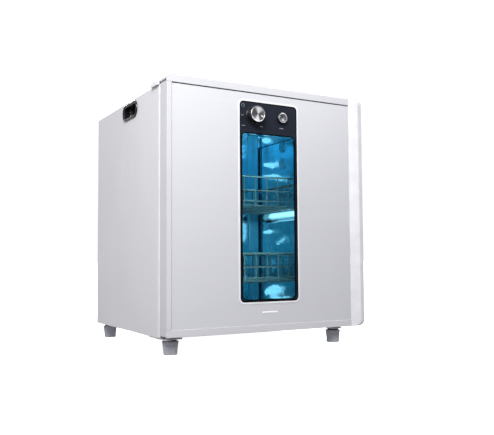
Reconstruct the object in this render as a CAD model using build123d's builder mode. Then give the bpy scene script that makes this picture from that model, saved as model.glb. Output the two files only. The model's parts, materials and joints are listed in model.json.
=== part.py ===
from build123d import *
import os

# Bottle disinfecting cabinet: a steel box on four feet with a polished chamber, two wire
# baskets, an ultraviolet lamp, a warm-air fan and a door hinged on its left side.
# Millimetres, +Z up, -Y is the front; the origin is the middle of the footprint.

# ---- driving dimensions -------------------------------------------------------------------
cabinet_width = 390.0
cabinet_depth = 354.0
cabinet_height = 441.4
sheet = 1.0
door_height = 450.0
door_thickness = 29.0
door_gap = 3.0
rail_height = 13.0
stile_face = 9.5
handle_reach = 28.0
handle_front = 10.0
knob_reach = 16.0
hinge_cover_overhang = 4.0
vent_cover_depth = 8.0
foot_height = 24.0
front_collar = 3.0
bracket_thickness = 2.0
chamber_side_gap = 25.0
chamber_floor_gap = 25.0
chamber_depth = 276.0
chamber_height = 401.0
liner = 0.8
door_skin = 1.0
front_band = 7.0
frame_wall = 3.0
door_lift = 3.0
pin_inset = 8.0
pin_setback = 16.0

# ---- places worked out from them ----------------------------------------------------------
width_over_all = hinge_cover_overhang + cabinet_width + handle_reach
depth_over_all = knob_reach + door_thickness + door_gap + cabinet_depth + vent_cover_depth
left = -width_over_all / 2 + hinge_cover_overhang
right = left + cabinet_width
middle = (left + right) / 2
door_front = -depth_over_all / 2 + knob_reach
door_back = door_front + door_thickness
cabinet_front = door_back + door_gap
cabinet_back = cabinet_front + cabinet_depth
panel_front = cabinet_front + front_band
bracket_bottom = foot_height + front_collar
cabinet_bottom = bracket_bottom + bracket_thickness
cabinet_top = cabinet_bottom + cabinet_height
door_bottom = cabinet_bottom + door_lift
door_top = door_bottom + door_height
opening_bottom = door_bottom + rail_height
opening_top = door_top - rail_height
chamber_left = left + chamber_side_gap
chamber_right = right - chamber_side_gap
chamber_front = cabinet_front + frame_wall
chamber_back = cabinet_front + chamber_depth
chamber_floor_z = cabinet_bottom + chamber_floor_gap
chamber_top_z = chamber_floor_z + chamber_height
chamber_mid_z = (chamber_floor_z + chamber_top_z) / 2

pin_x = left + pin_inset
pin_y = door_back - pin_setback
pin_radius = 4.0
pin_clearance = 0.05

os.makedirs("parts", exist_ok=True)


def save(builder, name):
    """Labels a finished piece and writes it to its own file."""
    builder.part.label = name
    export_step(builder.part, f"parts/{name}.step")


def block(low, high, mode=Mode.ADD):
    """A box between two opposite corners."""
    size = [b - a for a, b in zip(low, high)]
    centre = [(a + b) / 2 for a, b in zip(low, high)]
    with Locations(tuple(centre)):
        Box(*size, mode=mode)


def facing_front(y):
    """A plane at depth y, seen from the front: x to the right, z up."""
    return Plane.XZ.offset(-y)


def cylinder_y(x, z, radius, y_from, y_to, mode=Mode.ADD):
    """A round bar along Y."""
    with Locations(Location((x, (y_from + y_to) / 2, z), (90, 0, 0))):
        Cylinder(radius, y_to - y_from, mode=mode)


def cylinder_z(x, y, radius, z_from, z_to, mode=Mode.ADD):
    """A round bar along Z."""
    with Locations((x, y, (z_from + z_to) / 2)):
        Cylinder(radius, z_to - z_from, mode=mode)


# ==== cabinet shell ========================================================================
carry_width = 79.0
carry_height = 33.0
carry_corner = 15.0
carry_y = -7.5
carry_z = cabinet_top - 18.4
carry_lip = 3.0
cup_width = carry_width - 2 * carry_lip
cup_height = carry_height - 2 * carry_lip
panel_hole_corner = 6.0

with BuildPart() as left_side_panel:
    with BuildSketch(Plane.YZ.offset(left)):
        with Locations(((panel_front + cabinet_back) / 2, cabinet_bottom + cabinet_height / 2)):
            Rectangle(cabinet_back - panel_front, cabinet_height - 2 * sheet)
        with Locations((carry_y, carry_z)):
            RectangleRounded(cup_width, cup_height, panel_hole_corner, mode=Mode.SUBTRACT)
    extrude(amount=sheet)
save(left_side_panel, "left_side_panel")

with BuildPart() as right_side_panel:
    mirror(left_side_panel.part, about=Plane.YZ.offset(middle))
save(right_side_panel, "right_side_panel")

with BuildPart() as top_panel:
    block((left, panel_front, cabinet_top - sheet), (right, cabinet_back, cabinet_top))
save(top_panel, "top_panel")

with BuildPart() as base_pan:
    block((left, panel_front, cabinet_bottom), (right, cabinet_back, cabinet_bottom + sheet))
save(base_pan, "base_pan")

# Back panel, with the vent slots, the cord gland's hole and the screw holes.
vent_x = middle - 40.0
vent_z = 170.0
vent_width = 150.0
vent_height = 110.0
vent_slots = 9
vent_wall = 3.0
vent_face = 2.5
vent_slot = 5.0
gland_x = 128.0
gland_z = 66.0
gland_thread_radius = 8.0
gland_flange_radius = 11.0
gland_flange = 2.5
gland_nose_radius = 7.5
gland_nose = 4.0
gland_nut_radius = 10.5
gland_nut = 5.0
gland_thread = 8.0
gland_bore_radius = 4.0
screw_radius = 1.5
screw_head_radius = 3.2
screw_head = 2.0
screw_grip = 4.0
screw_inset = 12.0
back_centre = (middle, cabinet_bottom + cabinet_height / 2)
screw_sides = (left + screw_inset, right - screw_inset)
screw_low = cabinet_bottom + screw_inset
screw_step = (cabinet_height - 2 * screw_inset) / 3
back_screws = [(x, screw_low + row * screw_step) for x in screw_sides for row in range(4)]
back_screws += [(middle, screw_low), (middle, screw_low + 3 * screw_step)]

with BuildPart() as back_panel:
    with BuildSketch(facing_front(cabinet_back)):
        with Locations(back_centre):
            Rectangle(cabinet_width - 2 * sheet, cabinet_height - 2 * sheet)
        with Locations((vent_x, vent_z)):
            with GridLocations(0, 2.2 * vent_slot, 1, vent_slots):
                SlotOverall(vent_width - 8 * vent_wall, vent_slot, mode=Mode.SUBTRACT)
        with Locations((gland_x, gland_z)):
            Circle(gland_thread_radius, mode=Mode.SUBTRACT)
        with Locations(*back_screws):
            Circle(screw_radius, mode=Mode.SUBTRACT)
    extrude(amount=sheet)
save(back_panel, "back_panel")

with BuildPart() as back_panel_screws:
    with BuildSketch(facing_front(cabinet_back)):
        with Locations(*back_screws):
            Circle(screw_radius)
    extrude(amount=sheet + screw_grip)
    with BuildSketch(facing_front(cabinet_back)):
        with Locations(*back_screws):
            Circle(screw_head_radius)
    extrude(amount=-screw_head)
    fillet(back_panel_screws.faces().sort_by(Axis.Y)[-len(back_screws):].edges(), 0.8)
save(back_panel_screws, "back_panel_screws")

with BuildPart() as rear_vent_cover:
    with BuildSketch(facing_front(cabinet_back)):
        with Locations((vent_x, vent_z)):
            RectangleRounded(vent_width, vent_height, 6)
    extrude(amount=-vent_cover_depth)
    fillet(rear_vent_cover.faces().sort_by(Axis.Y)[-1].edges(), vent_wall)
    with BuildSketch(facing_front(cabinet_back)):
        with Locations((vent_x, vent_z)):
            RectangleRounded(vent_width - 2 * vent_wall, vent_height - 2 * vent_wall, 4)
    extrude(amount=-(vent_cover_depth - vent_face), mode=Mode.SUBTRACT)
    with BuildSketch(facing_front(cabinet_back)):
        with Locations((vent_x, vent_z)):
            with GridLocations(vent_width / 2 - 8, 2 * vent_slot, 2, vent_slots):
                SlotOverall(vent_width / 2 - 16, vent_slot - 1)
    extrude(amount=-vent_cover_depth, mode=Mode.SUBTRACT)
save(rear_vent_cover, "rear_vent_cover")

with BuildPart() as cord_gland:
    thread_end = cabinet_back - gland_thread
    flange_back = cabinet_back + gland_flange
    nose_back = flange_back + gland_nose
    nut_front = cabinet_back - sheet - gland_nut
    cylinder_y(gland_x, gland_z, gland_thread_radius, thread_end, cabinet_back)
    cylinder_y(gland_x, gland_z, gland_flange_radius, cabinet_back, flange_back)
    cylinder_y(gland_x, gland_z, gland_nose_radius, flange_back, nose_back)
    cylinder_y(gland_x, gland_z, gland_nut_radius, nut_front, cabinet_back - sheet)
    chamfer(cord_gland.edges().group_by(Axis.Y)[-1], 1)
    cylinder_y(gland_x, gland_z, gland_bore_radius, thread_end - 1, nose_back + 1, Mode.SUBTRACT)
save(cord_gland, "cord_gland")

# White front frame: a band round the cabinet's front edge and a flange in to the chamber.
with BuildPart() as front_frame:
    with BuildSketch(facing_front(panel_front)):
        with Locations(back_centre):
            RectangleRounded(cabinet_width, cabinet_height, 2)
    extrude(amount=front_band)
    chamfer(front_frame.faces().sort_by(Axis.Y)[0].edges(), 0.6)
    with BuildSketch(facing_front(panel_front)):
        with Locations(back_centre):
            Rectangle(cabinet_width - 2 * frame_wall, cabinet_height - 2 * frame_wall)
    extrude(amount=front_band - frame_wall, mode=Mode.SUBTRACT)
    with BuildSketch(facing_front(panel_front)):
        with Locations((middle, chamber_mid_z)):
            Rectangle(chamber_right - chamber_left, chamber_height)
    extrude(amount=front_band, mode=Mode.SUBTRACT)
save(front_frame, "front_frame")

switch_width = 12.0
switch_height = 24.0
switch_depth = 9.0
switch_x = chamber_right + 12.0
switch_z = chamber_top_z - 11.0
with BuildPart() as door_switch:
    block(
        (switch_x - switch_width / 2, chamber_front, switch_z - switch_height / 2),
        (switch_x + switch_width / 2, chamber_front + switch_depth, switch_z + switch_height / 2),
    )
    fillet(door_switch.edges().filter_by(Axis.Y), 2)
save(door_switch, "door_switch")

# ==== chamber liner ========================================================================
fan_x = middle
fan_z = 146.0
fan_size = 92.0
fan_bore = 42.0
heater_z = 252.0
heater_width = 96.0
heater_height = 62.0
heater_depth = 20.0
heater_fins = 15
fin_pitch = 6.0

with BuildPart() as chamber_left_wall:
    block(
        (chamber_left - liner, chamber_front, chamber_floor_z),
        (chamber_left, chamber_back, chamber_top_z),
    )
save(chamber_left_wall, "chamber_left_wall")

with BuildPart() as chamber_right_wall:
    mirror(chamber_left_wall.part, about=Plane.YZ.offset(middle))
save(chamber_right_wall, "chamber_right_wall")

with BuildPart() as chamber_ceiling:
    block(
        (chamber_left - liner, chamber_front, chamber_top_z),
        (chamber_right + liner, chamber_back + liner, chamber_top_z + liner),
    )
save(chamber_ceiling, "chamber_ceiling")

with BuildPart() as chamber_floor:
    block(
        (chamber_left - liner, chamber_front, chamber_floor_z - liner),
        (chamber_right + liner, chamber_back + liner, chamber_floor_z),
    )
save(chamber_floor, "chamber_floor")

with BuildPart() as chamber_back_wall:
    with BuildSketch(facing_front(chamber_back + liner)):
        with Locations((middle, chamber_mid_z)):
            Rectangle(chamber_right - chamber_left + 2 * liner, chamber_height)
        with Locations((fan_x, fan_z)):
            Circle(fan_bore - 2, mode=Mode.SUBTRACT)
        with Locations((fan_x, heater_z)):
            with GridLocations(0, 8, 1, 6):
                SlotOverall(heater_width - 20, 3, mode=Mode.SUBTRACT)
    extrude(amount=liner)
save(chamber_back_wall, "chamber_back_wall")

post_width = 25.0
post_depth = 4.0
post_gap = 6.0
post_clearance = 2.0
post_x = chamber_right - post_gap - post_width / 2

# Folded strips where the ceiling sheet comes down over the walls, the rear one between the posts.
strip_bottom = chamber_top_z - 28.0
with BuildPart() as ceiling_edge_strips:
    block(
        (chamber_right - 1, chamber_front + 3, strip_bottom),
        (chamber_right, chamber_back, chamber_top_z),
    )
    mirror(ceiling_edge_strips.part, about=Plane.YZ.offset(middle))
    block(
        (2 * middle - post_x + post_width / 2 + 0.3, chamber_back - 1, strip_bottom),
        (post_x - post_width / 2 - 0.3, chamber_back, chamber_top_z),
    )
save(ceiling_edge_strips, "ceiling_edge_strips")

groove_width = 6.0
groove_depth = 1.5
with BuildPart() as corner_posts:
    with BuildSketch(Plane.XY.offset(chamber_floor_z + post_clearance)):
        with Locations((post_x, chamber_back - post_depth / 2)):
            Rectangle(post_width, post_depth)
        with Locations((post_x, chamber_back - post_depth)):
            Rectangle(groove_width, 2 * groove_depth, mode=Mode.SUBTRACT)
    extrude(amount=chamber_height - 2 * post_clearance)
    mirror(corner_posts.part, about=Plane.YZ.offset(middle))
save(corner_posts, "corner_posts")

# Baskets hang by their side rails from ledges on both side walls.
upper_rim_z = 321.5
lower_rim_z = 174.5
rail_size = 4.0
ledge_reach = 10.0
ledge_gap = 0.3
runner_front = -146.0
runner_back = 104.0
runner_height = 16.0
runner_sheet = 1.5
with BuildPart() as basket_runners:
    with BuildSketch(facing_front(runner_back)):
        for rim_z in (upper_rim_z, lower_rim_z):
            ledge_z = rim_z - rail_size / 2 - ledge_gap - runner_sheet / 2
            with Locations((chamber_right - runner_sheet / 2, rim_z - rail_size / 2)):
                Rectangle(runner_sheet, runner_height)
            with Locations((chamber_right - ledge_reach / 2, ledge_z)):
                Rectangle(ledge_reach, runner_sheet)
    extrude(amount=runner_back - runner_front)
    mirror(basket_runners.part, about=Plane.YZ.offset(middle))
save(basket_runners, "basket_runners")

# Pan-head screws on the right and left walls and in the grooves of the posts.
liner_screw_radius = 2.6
liner_screw_height = 1.8
wall_screws = [(101.0, 384.0), (101.0, 241.0), (82.0, 82.0), (-128.0, 384.0), (-128.0, 82.0)]
with BuildPart() as liner_screws:
    for y, z in wall_screws:
        with Locations(Location((chamber_right - liner_screw_height / 2, y, z), (0, 90, 0))):
            Cylinder(liner_screw_radius, liner_screw_height)
    for z in (chamber_floor_z + 28, strip_bottom - 9):
        cylinder_y(post_x, z, 2.4, chamber_back - post_depth - 0.2, chamber_back - post_depth + groove_depth)
    mirror(liner_screws.part, about=Plane.YZ.offset(middle))
save(liner_screws, "liner_screws")

# ==== lamp =================================================================================
lamp_radius = 7.75
lamp_length = 212.0
lamp_cap = 8.0
lamp_x = chamber_right - 10.2
lamp_y = -29.0
lamp_z = 260.0
lamp_pin_radius = 1.1
lamp_pin_length = 6.0
lamp_pin_offset = 2.4
holder_length = 10.0
holder_half = 8.5
dish_y = -24.0
dish_length = 254.0
dish_height = 28.0
dish_depth = 4.0
dish_sheet = 1.2

with BuildPart() as uv_lamp_tube:
    cylinder_y(
        lamp_x, lamp_z, lamp_radius,
        lamp_y - lamp_length / 2 + lamp_cap, lamp_y + lamp_length / 2 - lamp_cap,
    )
save(uv_lamp_tube, "uv_lamp_tube")

with BuildPart() as lamp_end_caps:
    for end in (-1, 1):
        tip = lamp_y + end * lamp_length / 2
        shoulder = tip - end * lamp_cap
        cylinder_y(lamp_x, lamp_z, lamp_radius + 0.2, min(tip, shoulder), max(tip, shoulder))
        for dz in (-lamp_pin_offset, lamp_pin_offset):
            pin_tip = tip + end * lamp_pin_length
            cylinder_y(lamp_x, lamp_z + dz, lamp_pin_radius, min(tip, pin_tip), max(tip, pin_tip))
save(lamp_end_caps, "lamp_end_caps")

with BuildPart() as lamp_holders:
    for end in (-1, 1):
        near = lamp_y + end * (lamp_length / 2 + 0.3)
        far = near + end * holder_length
        block(
            (lamp_x - lamp_radius - 0.45, min(near, far), lamp_z - holder_half),
            (chamber_right - dish_sheet, max(near, far), lamp_z + holder_half),
        )
    fillet(lamp_holders.edges().filter_by(Axis.Y).group_by(Axis.X)[0], 5)
    for dz in (-lamp_pin_offset, lamp_pin_offset):
        for end in (-1, 1):
            near = lamp_y + end * lamp_length / 2
            far = near + end * (lamp_pin_length + 1)
            cylinder_y(
                lamp_x, lamp_z + dz, lamp_pin_radius + 0.1, min(near, far), max(near, far), Mode.SUBTRACT
            )
save(lamp_holders, "lamp_holders")

with BuildPart() as lamp_reflector:
    with BuildSketch(Plane.YZ.offset(chamber_right - dish_depth)):
        with Locations((dish_y, lamp_z)):
            SlotOverall(dish_length, dish_height)
            SlotOverall(dish_length - 2 * dish_sheet, dish_height - 2 * dish_sheet, mode=Mode.SUBTRACT)
    extrude(amount=dish_depth)
    with BuildSketch(Plane.YZ.offset(chamber_right - dish_sheet)):
        with Locations((dish_y, lamp_z)):
            SlotOverall(dish_length, dish_height)
    extrude(amount=dish_sheet)
save(lamp_reflector, "lamp_reflector")

# Perforated rosettes over the air outlets in the right wall.
rosette_y = 16.0
rosette_radius = 12.0
rosette_hole = 1.3
rosette_thickness = 2.0
with BuildPart() as wall_rosettes:
    with BuildSketch(Plane.YZ.offset(chamber_right - rosette_thickness)):
        with Locations((rosette_y, 414.0), (rosette_y, 377.4)):
            Circle(rosette_radius)
            with PolarLocations(8.4, 12):
                Circle(rosette_hole, mode=Mode.SUBTRACT)
            with PolarLocations(4.4, 6):
                Circle(rosette_hole, mode=Mode.SUBTRACT)
    extrude(amount=rosette_thickness)
save(wall_rosettes, "wall_rosettes")

# ==== warm air =============================================================================
with BuildPart() as fan_grille:
    with BuildSketch(facing_front(chamber_back)):
        with Locations((fan_x, fan_z)):
            Circle(fan_bore + 4)
            for ring, count in ((8, 6), (15, 11), (22, 16), (29, 22), (36, 27)):
                with PolarLocations(ring, count):
                    Circle(2.5, mode=Mode.SUBTRACT)
    extrude(amount=1.5)
save(fan_grille, "fan_grille")

fan_depth = 25.0
fan_spoke = 5.0
fan_front = chamber_back + liner
fan_back = fan_front + fan_depth
hub_radius = 18.0
with BuildPart() as fan_housing:
    with BuildSketch(facing_front(fan_back)):
        with Locations((fan_x, fan_z)):
            RectangleRounded(fan_size, fan_size, 5)
            Circle(fan_bore, mode=Mode.SUBTRACT)
            with GridLocations(82.5, 82.5, 2, 2):
                Circle(2.2, mode=Mode.SUBTRACT)
    extrude(amount=fan_depth)
    with BuildSketch(facing_front(fan_back)):
        with Locations((fan_x, fan_z)):
            Circle(hub_radius + 1)
            Rectangle(2 * fan_bore + 2, fan_spoke)
            Rectangle(fan_spoke, 2 * fan_bore + 2)
    extrude(amount=4)
save(fan_housing, "fan_housing")

# Seven pitched blades between the hub and a tip radius clear of the housing.
blade_count = 7
blade_pitch = 35.0
blade_tip = fan_bore - 1.5
blade_chord = 22.0
blade_sheet = 1.4
with BuildPart() as fan_impeller:
    cylinder_y(fan_x, fan_z, hub_radius, fan_front + 2.5, fan_back - 5)
    blade_length = blade_tip - hub_radius + 2
    fan_centre = Plane(
        origin=(fan_x, (fan_front + fan_back) / 2 - 1.25, fan_z), x_dir=(1, 0, 0), z_dir=(0, -1, 0)
    )
    with Locations(fan_centre):
        with PolarLocations(hub_radius - 2 + blade_length / 2, blade_count):
            Box(blade_length, blade_chord, blade_sheet, rotation=(blade_pitch, 0, 0))
save(fan_impeller, "fan_impeller")

with BuildPart() as ptc_heater:
    with BuildSketch(facing_front(fan_front + 2 + heater_depth)):
        with Locations((fan_x, heater_z)):
            Rectangle(heater_width, heater_height)
            Rectangle(heater_width - 6, heater_height - 6, mode=Mode.SUBTRACT)
            with GridLocations(fin_pitch, 0, heater_fins, 1):
                Rectangle(1.2, heater_height - 4)
            with GridLocations(0, 14, 1, 3):
                Rectangle(heater_width - 4, 3)
    extrude(amount=heater_depth)
save(ptc_heater, "ptc_heater")

cutout_x = fan_x + 68.0
cutout_radius = 8.0
cutout_height = 9.0
blade_reach = 8.0
mount_sheet = 1.5
with BuildPart() as thermal_cutout:
    cap_back = fan_front + cutout_height
    cylinder_y(cutout_x, heater_z, cutout_radius, fan_front, cap_back)
    block((cutout_x - 12, fan_front, heater_z - 4), (cutout_x + 12, fan_front + mount_sheet, heater_z + 4))
    for blade_x in (cutout_x - 2.5, cutout_x + 2.5):
        block(
            (blade_x - 0.5, cap_back, heater_z - 5),
            (blade_x + 0.5, cap_back + blade_reach, heater_z + 5),
        )
save(thermal_cutout, "thermal_cutout")

ballast_x = 94.0
ballast_z = 206.0
ballast_width = 36.0
ballast_height = 112.0
ballast_depth = 26.0
ballast_tab = 9.0
with BuildPart() as lamp_ballast:
    half_width = ballast_width / 2
    half_height = ballast_height / 2
    block(
        (ballast_x - half_width, fan_front, ballast_z - half_height),
        (ballast_x + half_width, fan_front + ballast_depth, ballast_z + half_height),
    )
    fillet(lamp_ballast.edges().filter_by(Axis.Z), 3)
    block(
        (ballast_x - half_width + 2, fan_front, ballast_z - half_height - ballast_tab),
        (ballast_x + half_width - 2, fan_front + mount_sheet, ballast_z + half_height + ballast_tab),
    )
    for side in (-1, 1):
        hole_z = ballast_z + side * (half_height + ballast_tab - 4)
        cylinder_y(ballast_x, hole_z, 2, fan_front, fan_front + mount_sheet, Mode.SUBTRACT)
save(lamp_ballast, "lamp_ballast")

# ==== baskets ==============================================================================
basket_half = 151.0
basket_front = -137.0
basket_back = 101.0
basket_drop = 56.5
mid_drop = 26.0
wire = 2.2
wire_pitch = 25.0
wire_rows = 10
panel_gap = 0.4
rail_x = chamber_right - 7 - middle


def basket_wall(plane, width, count):
    """An upright wire grid: uprights, a middle wire, a bottom wire and a thicker rim."""
    with BuildSketch(plane) as grid:
        with GridLocations(wire_pitch, 0, count, 1):
            with Locations((0, -basket_drop / 2)):
                Rectangle(wire, basket_drop)
        with Locations((0, 0)):
            Rectangle(width, rail_size)
        with Locations((0, -mid_drop), (0, -basket_drop + wire / 2)):
            Rectangle(width, wire)
        for side in (-1, 1):
            with Locations((side * (width - wire) / 2, -basket_drop / 2)):
                Rectangle(wire, basket_drop)
    return grid.sketch


for name, rim_z in (("upper_basket", upper_rim_z), ("lower_basket", lower_rim_z)):
    depth = basket_back - basket_front
    depth_mid = (basket_back + basket_front) / 2
    side_width = depth - 2 * wire - 2 * panel_gap
    with BuildPart() as basket:
        # front and back walls
        for y in (basket_front + wire, basket_back):
            wall_plane = Plane(origin=(middle, y, rim_z), x_dir=(1, 0, 0), z_dir=(0, -1, 0))
            extrude(basket_wall(wall_plane, 2 * basket_half, 12), amount=wire)
        # side walls
        for x in (middle - basket_half, middle + basket_half - wire):
            wall_plane = Plane(origin=(x, depth_mid, rim_z), x_dir=(0, 1, 0), z_dir=(1, 0, 0))
            extrude(basket_wall(wall_plane, side_width, 9), amount=wire)
        # floor grid, just inside the bottom wires
        with BuildSketch(Plane.XY.offset(rim_z - basket_drop)):
            with Locations((middle, depth_mid)):
                with GridLocations(wire_pitch, 0, 12, 1):
                    Rectangle(wire, side_width)
                with GridLocations(0, side_width / wire_rows, 1, wire_rows - 1):
                    Rectangle(2 * basket_half - 2 * wire - 2 * panel_gap, wire)
        extrude(amount=wire)
        # side rails that lie on the ledges, on short cross wires
        with BuildSketch(Plane.XY.offset(rim_z - rail_size / 2)):
            for side in (-1, 1):
                near = basket_half + panel_gap
                far = rail_x + rail_size / 2
                with Locations((middle + side * rail_x, depth_mid)):
                    Rectangle(rail_size, depth)
                with Locations((middle + side * (near + far) / 2, depth_mid)):
                    with GridLocations(0, 50, 1, 5):
                        Rectangle(far - near, wire)
        extrude(amount=rail_size)
    save(basket, name)

# ==== hinges, brackets and feet ============================================================
tongue_half = 6.0
hinge_plate = 3.0
hinge_plate_width = 40.0
hinge_plate_depth = 32.0
bush_length = 18.0

with BuildPart() as upper_hinge_bracket:
    with BuildSketch(Plane.XY.offset(cabinet_top)):
        with Locations((pin_x, pin_y)):
            Circle(tongue_half)
        with Locations((pin_x, (pin_y + cabinet_front) / 2)):
            Rectangle(2 * tongue_half, cabinet_front - pin_y)
        with Locations((left + 22, cabinet_front + hinge_plate_depth / 2)):
            Rectangle(hinge_plate_width, hinge_plate_depth)
        with Locations((left + 24, cabinet_front + 12), (left + 24, cabinet_front + 24)):
            Circle(2.2, mode=Mode.SUBTRACT)
    extrude(amount=hinge_plate)
    cylinder_z(pin_x, pin_y, pin_radius, opening_top - bush_length + 1, cabinet_top)
save(upper_hinge_bracket, "upper_hinge_bracket")

with BuildPart() as upper_hinge_cover:
    block(
        (left - hinge_cover_overhang, cabinet_front + 1, cabinet_top),
        (left + 46, cabinet_front + 34, cabinet_top + 9),
    )
    fillet(upper_hinge_cover.edges().filter_by(Axis.Z), 3)
    fillet(upper_hinge_cover.faces().sort_by(Axis.Z)[-1].edges(), 2)
    block(
        (left, cabinet_front, cabinet_top),
        (left + 43, cabinet_front + 32, cabinet_top + 6),
        Mode.SUBTRACT,
    )
save(upper_hinge_cover, "upper_hinge_cover")

front_foot_y = -156.0
rear_foot_y = 171.0
left_foot_x = -186.0
right_foot_x = 162.0

bracket_y = -135.0
bracket_length = 74.0
bracket_hole = 2.5
with BuildPart() as lower_hinge_bracket:
    with BuildSketch(Plane.XY.offset(bracket_bottom)):
        with Locations((left + 21, bracket_y)):
            RectangleRounded(36, bracket_length, 7)
        with Locations((pin_x, pin_y)):
            Circle(tongue_half)
        with Locations((pin_x, (pin_y + bracket_y) / 2)):
            Rectangle(2 * tongue_half, bracket_y - pin_y)
        with Locations((left + 21, -110), (left + 32, -125)):
            Circle(bracket_hole, mode=Mode.SUBTRACT)
    extrude(amount=bracket_thickness)
    cylinder_z(pin_x, pin_y, pin_radius, cabinet_bottom, opening_bottom + bush_length - 1)
save(lower_hinge_bracket, "lower_hinge_bracket")

with BuildPart() as right_foot_bracket:
    with BuildSketch(Plane.XY.offset(bracket_bottom)):
        with Locations((right_foot_x, bracket_y)):
            RectangleRounded(24, bracket_length, 6)
        with Locations((right_foot_x, -112), (right_foot_x, -132)):
            Circle(bracket_hole, mode=Mode.SUBTRACT)
    extrude(amount=bracket_thickness)
save(right_foot_bracket, "right_foot_bracket")

foot_low_radius = 12.0
foot_high_radius = 14.5
collar_radius = 11.0
front_feet = [(left_foot_x, front_foot_y), (right_foot_x, front_foot_y)]
rear_feet = [(left_foot_x, rear_foot_y), (right_foot_x, rear_foot_y)]
with BuildPart() as feet:
    for x, y in front_feet + rear_feet:
        with Locations((x, y, foot_height / 2)):
            Cone(foot_low_radius, foot_high_radius, foot_height)
    fillet(feet.edges().group_by(Axis.Z)[0], 1.5)
    fillet(feet.edges().group_by(Axis.Z)[-1], 1)
save(feet, "feet")

with BuildPart() as foot_collars:
    for x, y in front_feet:
        cylinder_z(x, y, collar_radius, foot_height, bracket_bottom)
    for x, y in rear_feet:
        cylinder_z(x, y, collar_radius, foot_height, cabinet_bottom)
save(foot_collars, "foot_collars")

# Carry handles: a rounded lip round a moulded cup, one in each side panel.
cup_depth = 17.0
cup_wall = 2.0
cup_corner = 7.0
lip_round = 1.6
with BuildPart() as carry_handles:
    with BuildSketch(Plane.YZ.offset(left - carry_lip)):
        with Locations((carry_y, carry_z)):
            RectangleRounded(carry_width, carry_height, carry_corner)
    extrude(amount=carry_lip)
    fillet(carry_handles.faces().sort_by(Axis.X)[0].edges(), lip_round)
    with BuildSketch(Plane.YZ.offset(left)):
        with Locations((carry_y, carry_z)):
            RectangleRounded(cup_width, cup_height, carry_corner - carry_lip)
    extrude(amount=cup_depth)
    with BuildSketch(Plane.YZ.offset(left - carry_lip)):
        with Locations((carry_y, carry_z)):
            RectangleRounded(cup_width - 2 * cup_wall, cup_height - 2 * cup_wall, cup_corner)
    extrude(amount=carry_lip + cup_depth - cup_wall, mode=Mode.SUBTRACT)
    mirror(carry_handles.part, about=Plane.YZ.offset(middle))
save(carry_handles, "carry_handles")

# ==== door frame ===========================================================================
rail_wall = 4.0
hinge_end = 24.0
handle_end = 18.0
bright_chamfer = 0.6
slot_bottom = opening_top + 1.0
slot_top = slot_bottom + 4.0
with BuildPart() as door_top_rail:
    block((left, door_front, opening_top), (right, door_back, door_top))
    corner = door_top_rail.edges().filter_by(Axis.Y).sort_by(Axis.X)[:2].sort_by(Axis.Z)[-1]
    fillet(corner, 6)
    chamfer(door_top_rail.faces().sort_by(Axis.Y)[0].edges().filter_by(Axis.X), bright_chamfer)
    block(
        (left + hinge_end, door_front + rail_wall, opening_top),
        (right - handle_end, door_back - rail_wall, door_top - door_lift),
        Mode.SUBTRACT,
    )
    block((left, door_front + 2.5, slot_bottom), (left + 17, door_back, slot_top), Mode.SUBTRACT)
    cylinder_z(pin_x, pin_y, pin_radius + 1, opening_top, slot_bottom, Mode.SUBTRACT)
save(door_top_rail, "door_top_rail")

with BuildPart() as door_bottom_rail:
    block((left, door_front, door_bottom), (right, door_back, opening_bottom))
    corner = door_bottom_rail.edges().filter_by(Axis.Y).sort_by(Axis.X)[:2].sort_by(Axis.Z)[0]
    fillet(corner, 3)
    chamfer(door_bottom_rail.faces().sort_by(Axis.Y)[0].edges().filter_by(Axis.X), bright_chamfer)
    block(
        (left + hinge_end, door_front + rail_wall, door_bottom + door_lift),
        (right - handle_end, door_back - rail_wall, opening_bottom),
        Mode.SUBTRACT,
    )
    cylinder_z(pin_x, pin_y, pin_radius + 1, door_bottom, opening_bottom, Mode.SUBTRACT)
save(door_bottom_rail, "door_bottom_rail")

stile_width = 22.0
opening_height = opening_top - opening_bottom
panel_recess = 2.0
panel_thickness = 2.0
panel_back = door_front + panel_recess + panel_thickness
hollow_low = (left + 2, door_front + 6)
hollow_high = (left + stile_width - 2, door_back - 2)

with BuildPart() as door_hinge_stile:
    with BuildSketch(Plane.XY.offset(opening_bottom)):
        with BuildLine():
            Polyline(
                (left, door_front),
                (left + stile_face, door_front),
                (left + stile_face, panel_back),
                (left + stile_width, panel_back),
                (left + stile_width, door_back),
                (left, door_back),
                close=True,
            )
        make_face()
        with Locations(((hollow_low[0] + hollow_high[0]) / 2, (hollow_low[1] + hollow_high[1]) / 2)):
            Rectangle(hollow_high[0] - hollow_low[0], hollow_high[1] - hollow_low[1], mode=Mode.SUBTRACT)
    extrude(amount=opening_height)
    chamfer(door_hinge_stile.edges().filter_by(Axis.Z).group_by(Axis.Y)[0], bright_chamfer)
save(door_hinge_stile, "door_hinge_stile")

with BuildPart() as hinge_bushes:
    for z_from in (opening_bottom, opening_top - bush_length):
        block((*hollow_low, z_from), (*hollow_high, z_from + bush_length))
    cylinder_z(pin_x, pin_y, pin_radius + pin_clearance, opening_bottom - 1, opening_top + 1, Mode.SUBTRACT)
save(hinge_bushes, "hinge_bushes")

# Handle stile: a hooked pull that stands out past the cabinet's right side.
hook_wall = 3.5
hook_x = right + handle_reach
hook_y = door_front - handle_front
hook_back = door_front + 13.0
slant_x = right + 14.5
nose_x = slant_x + 3.0
facet_drop = 3.7
handle_inner = right - handle_end

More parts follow.
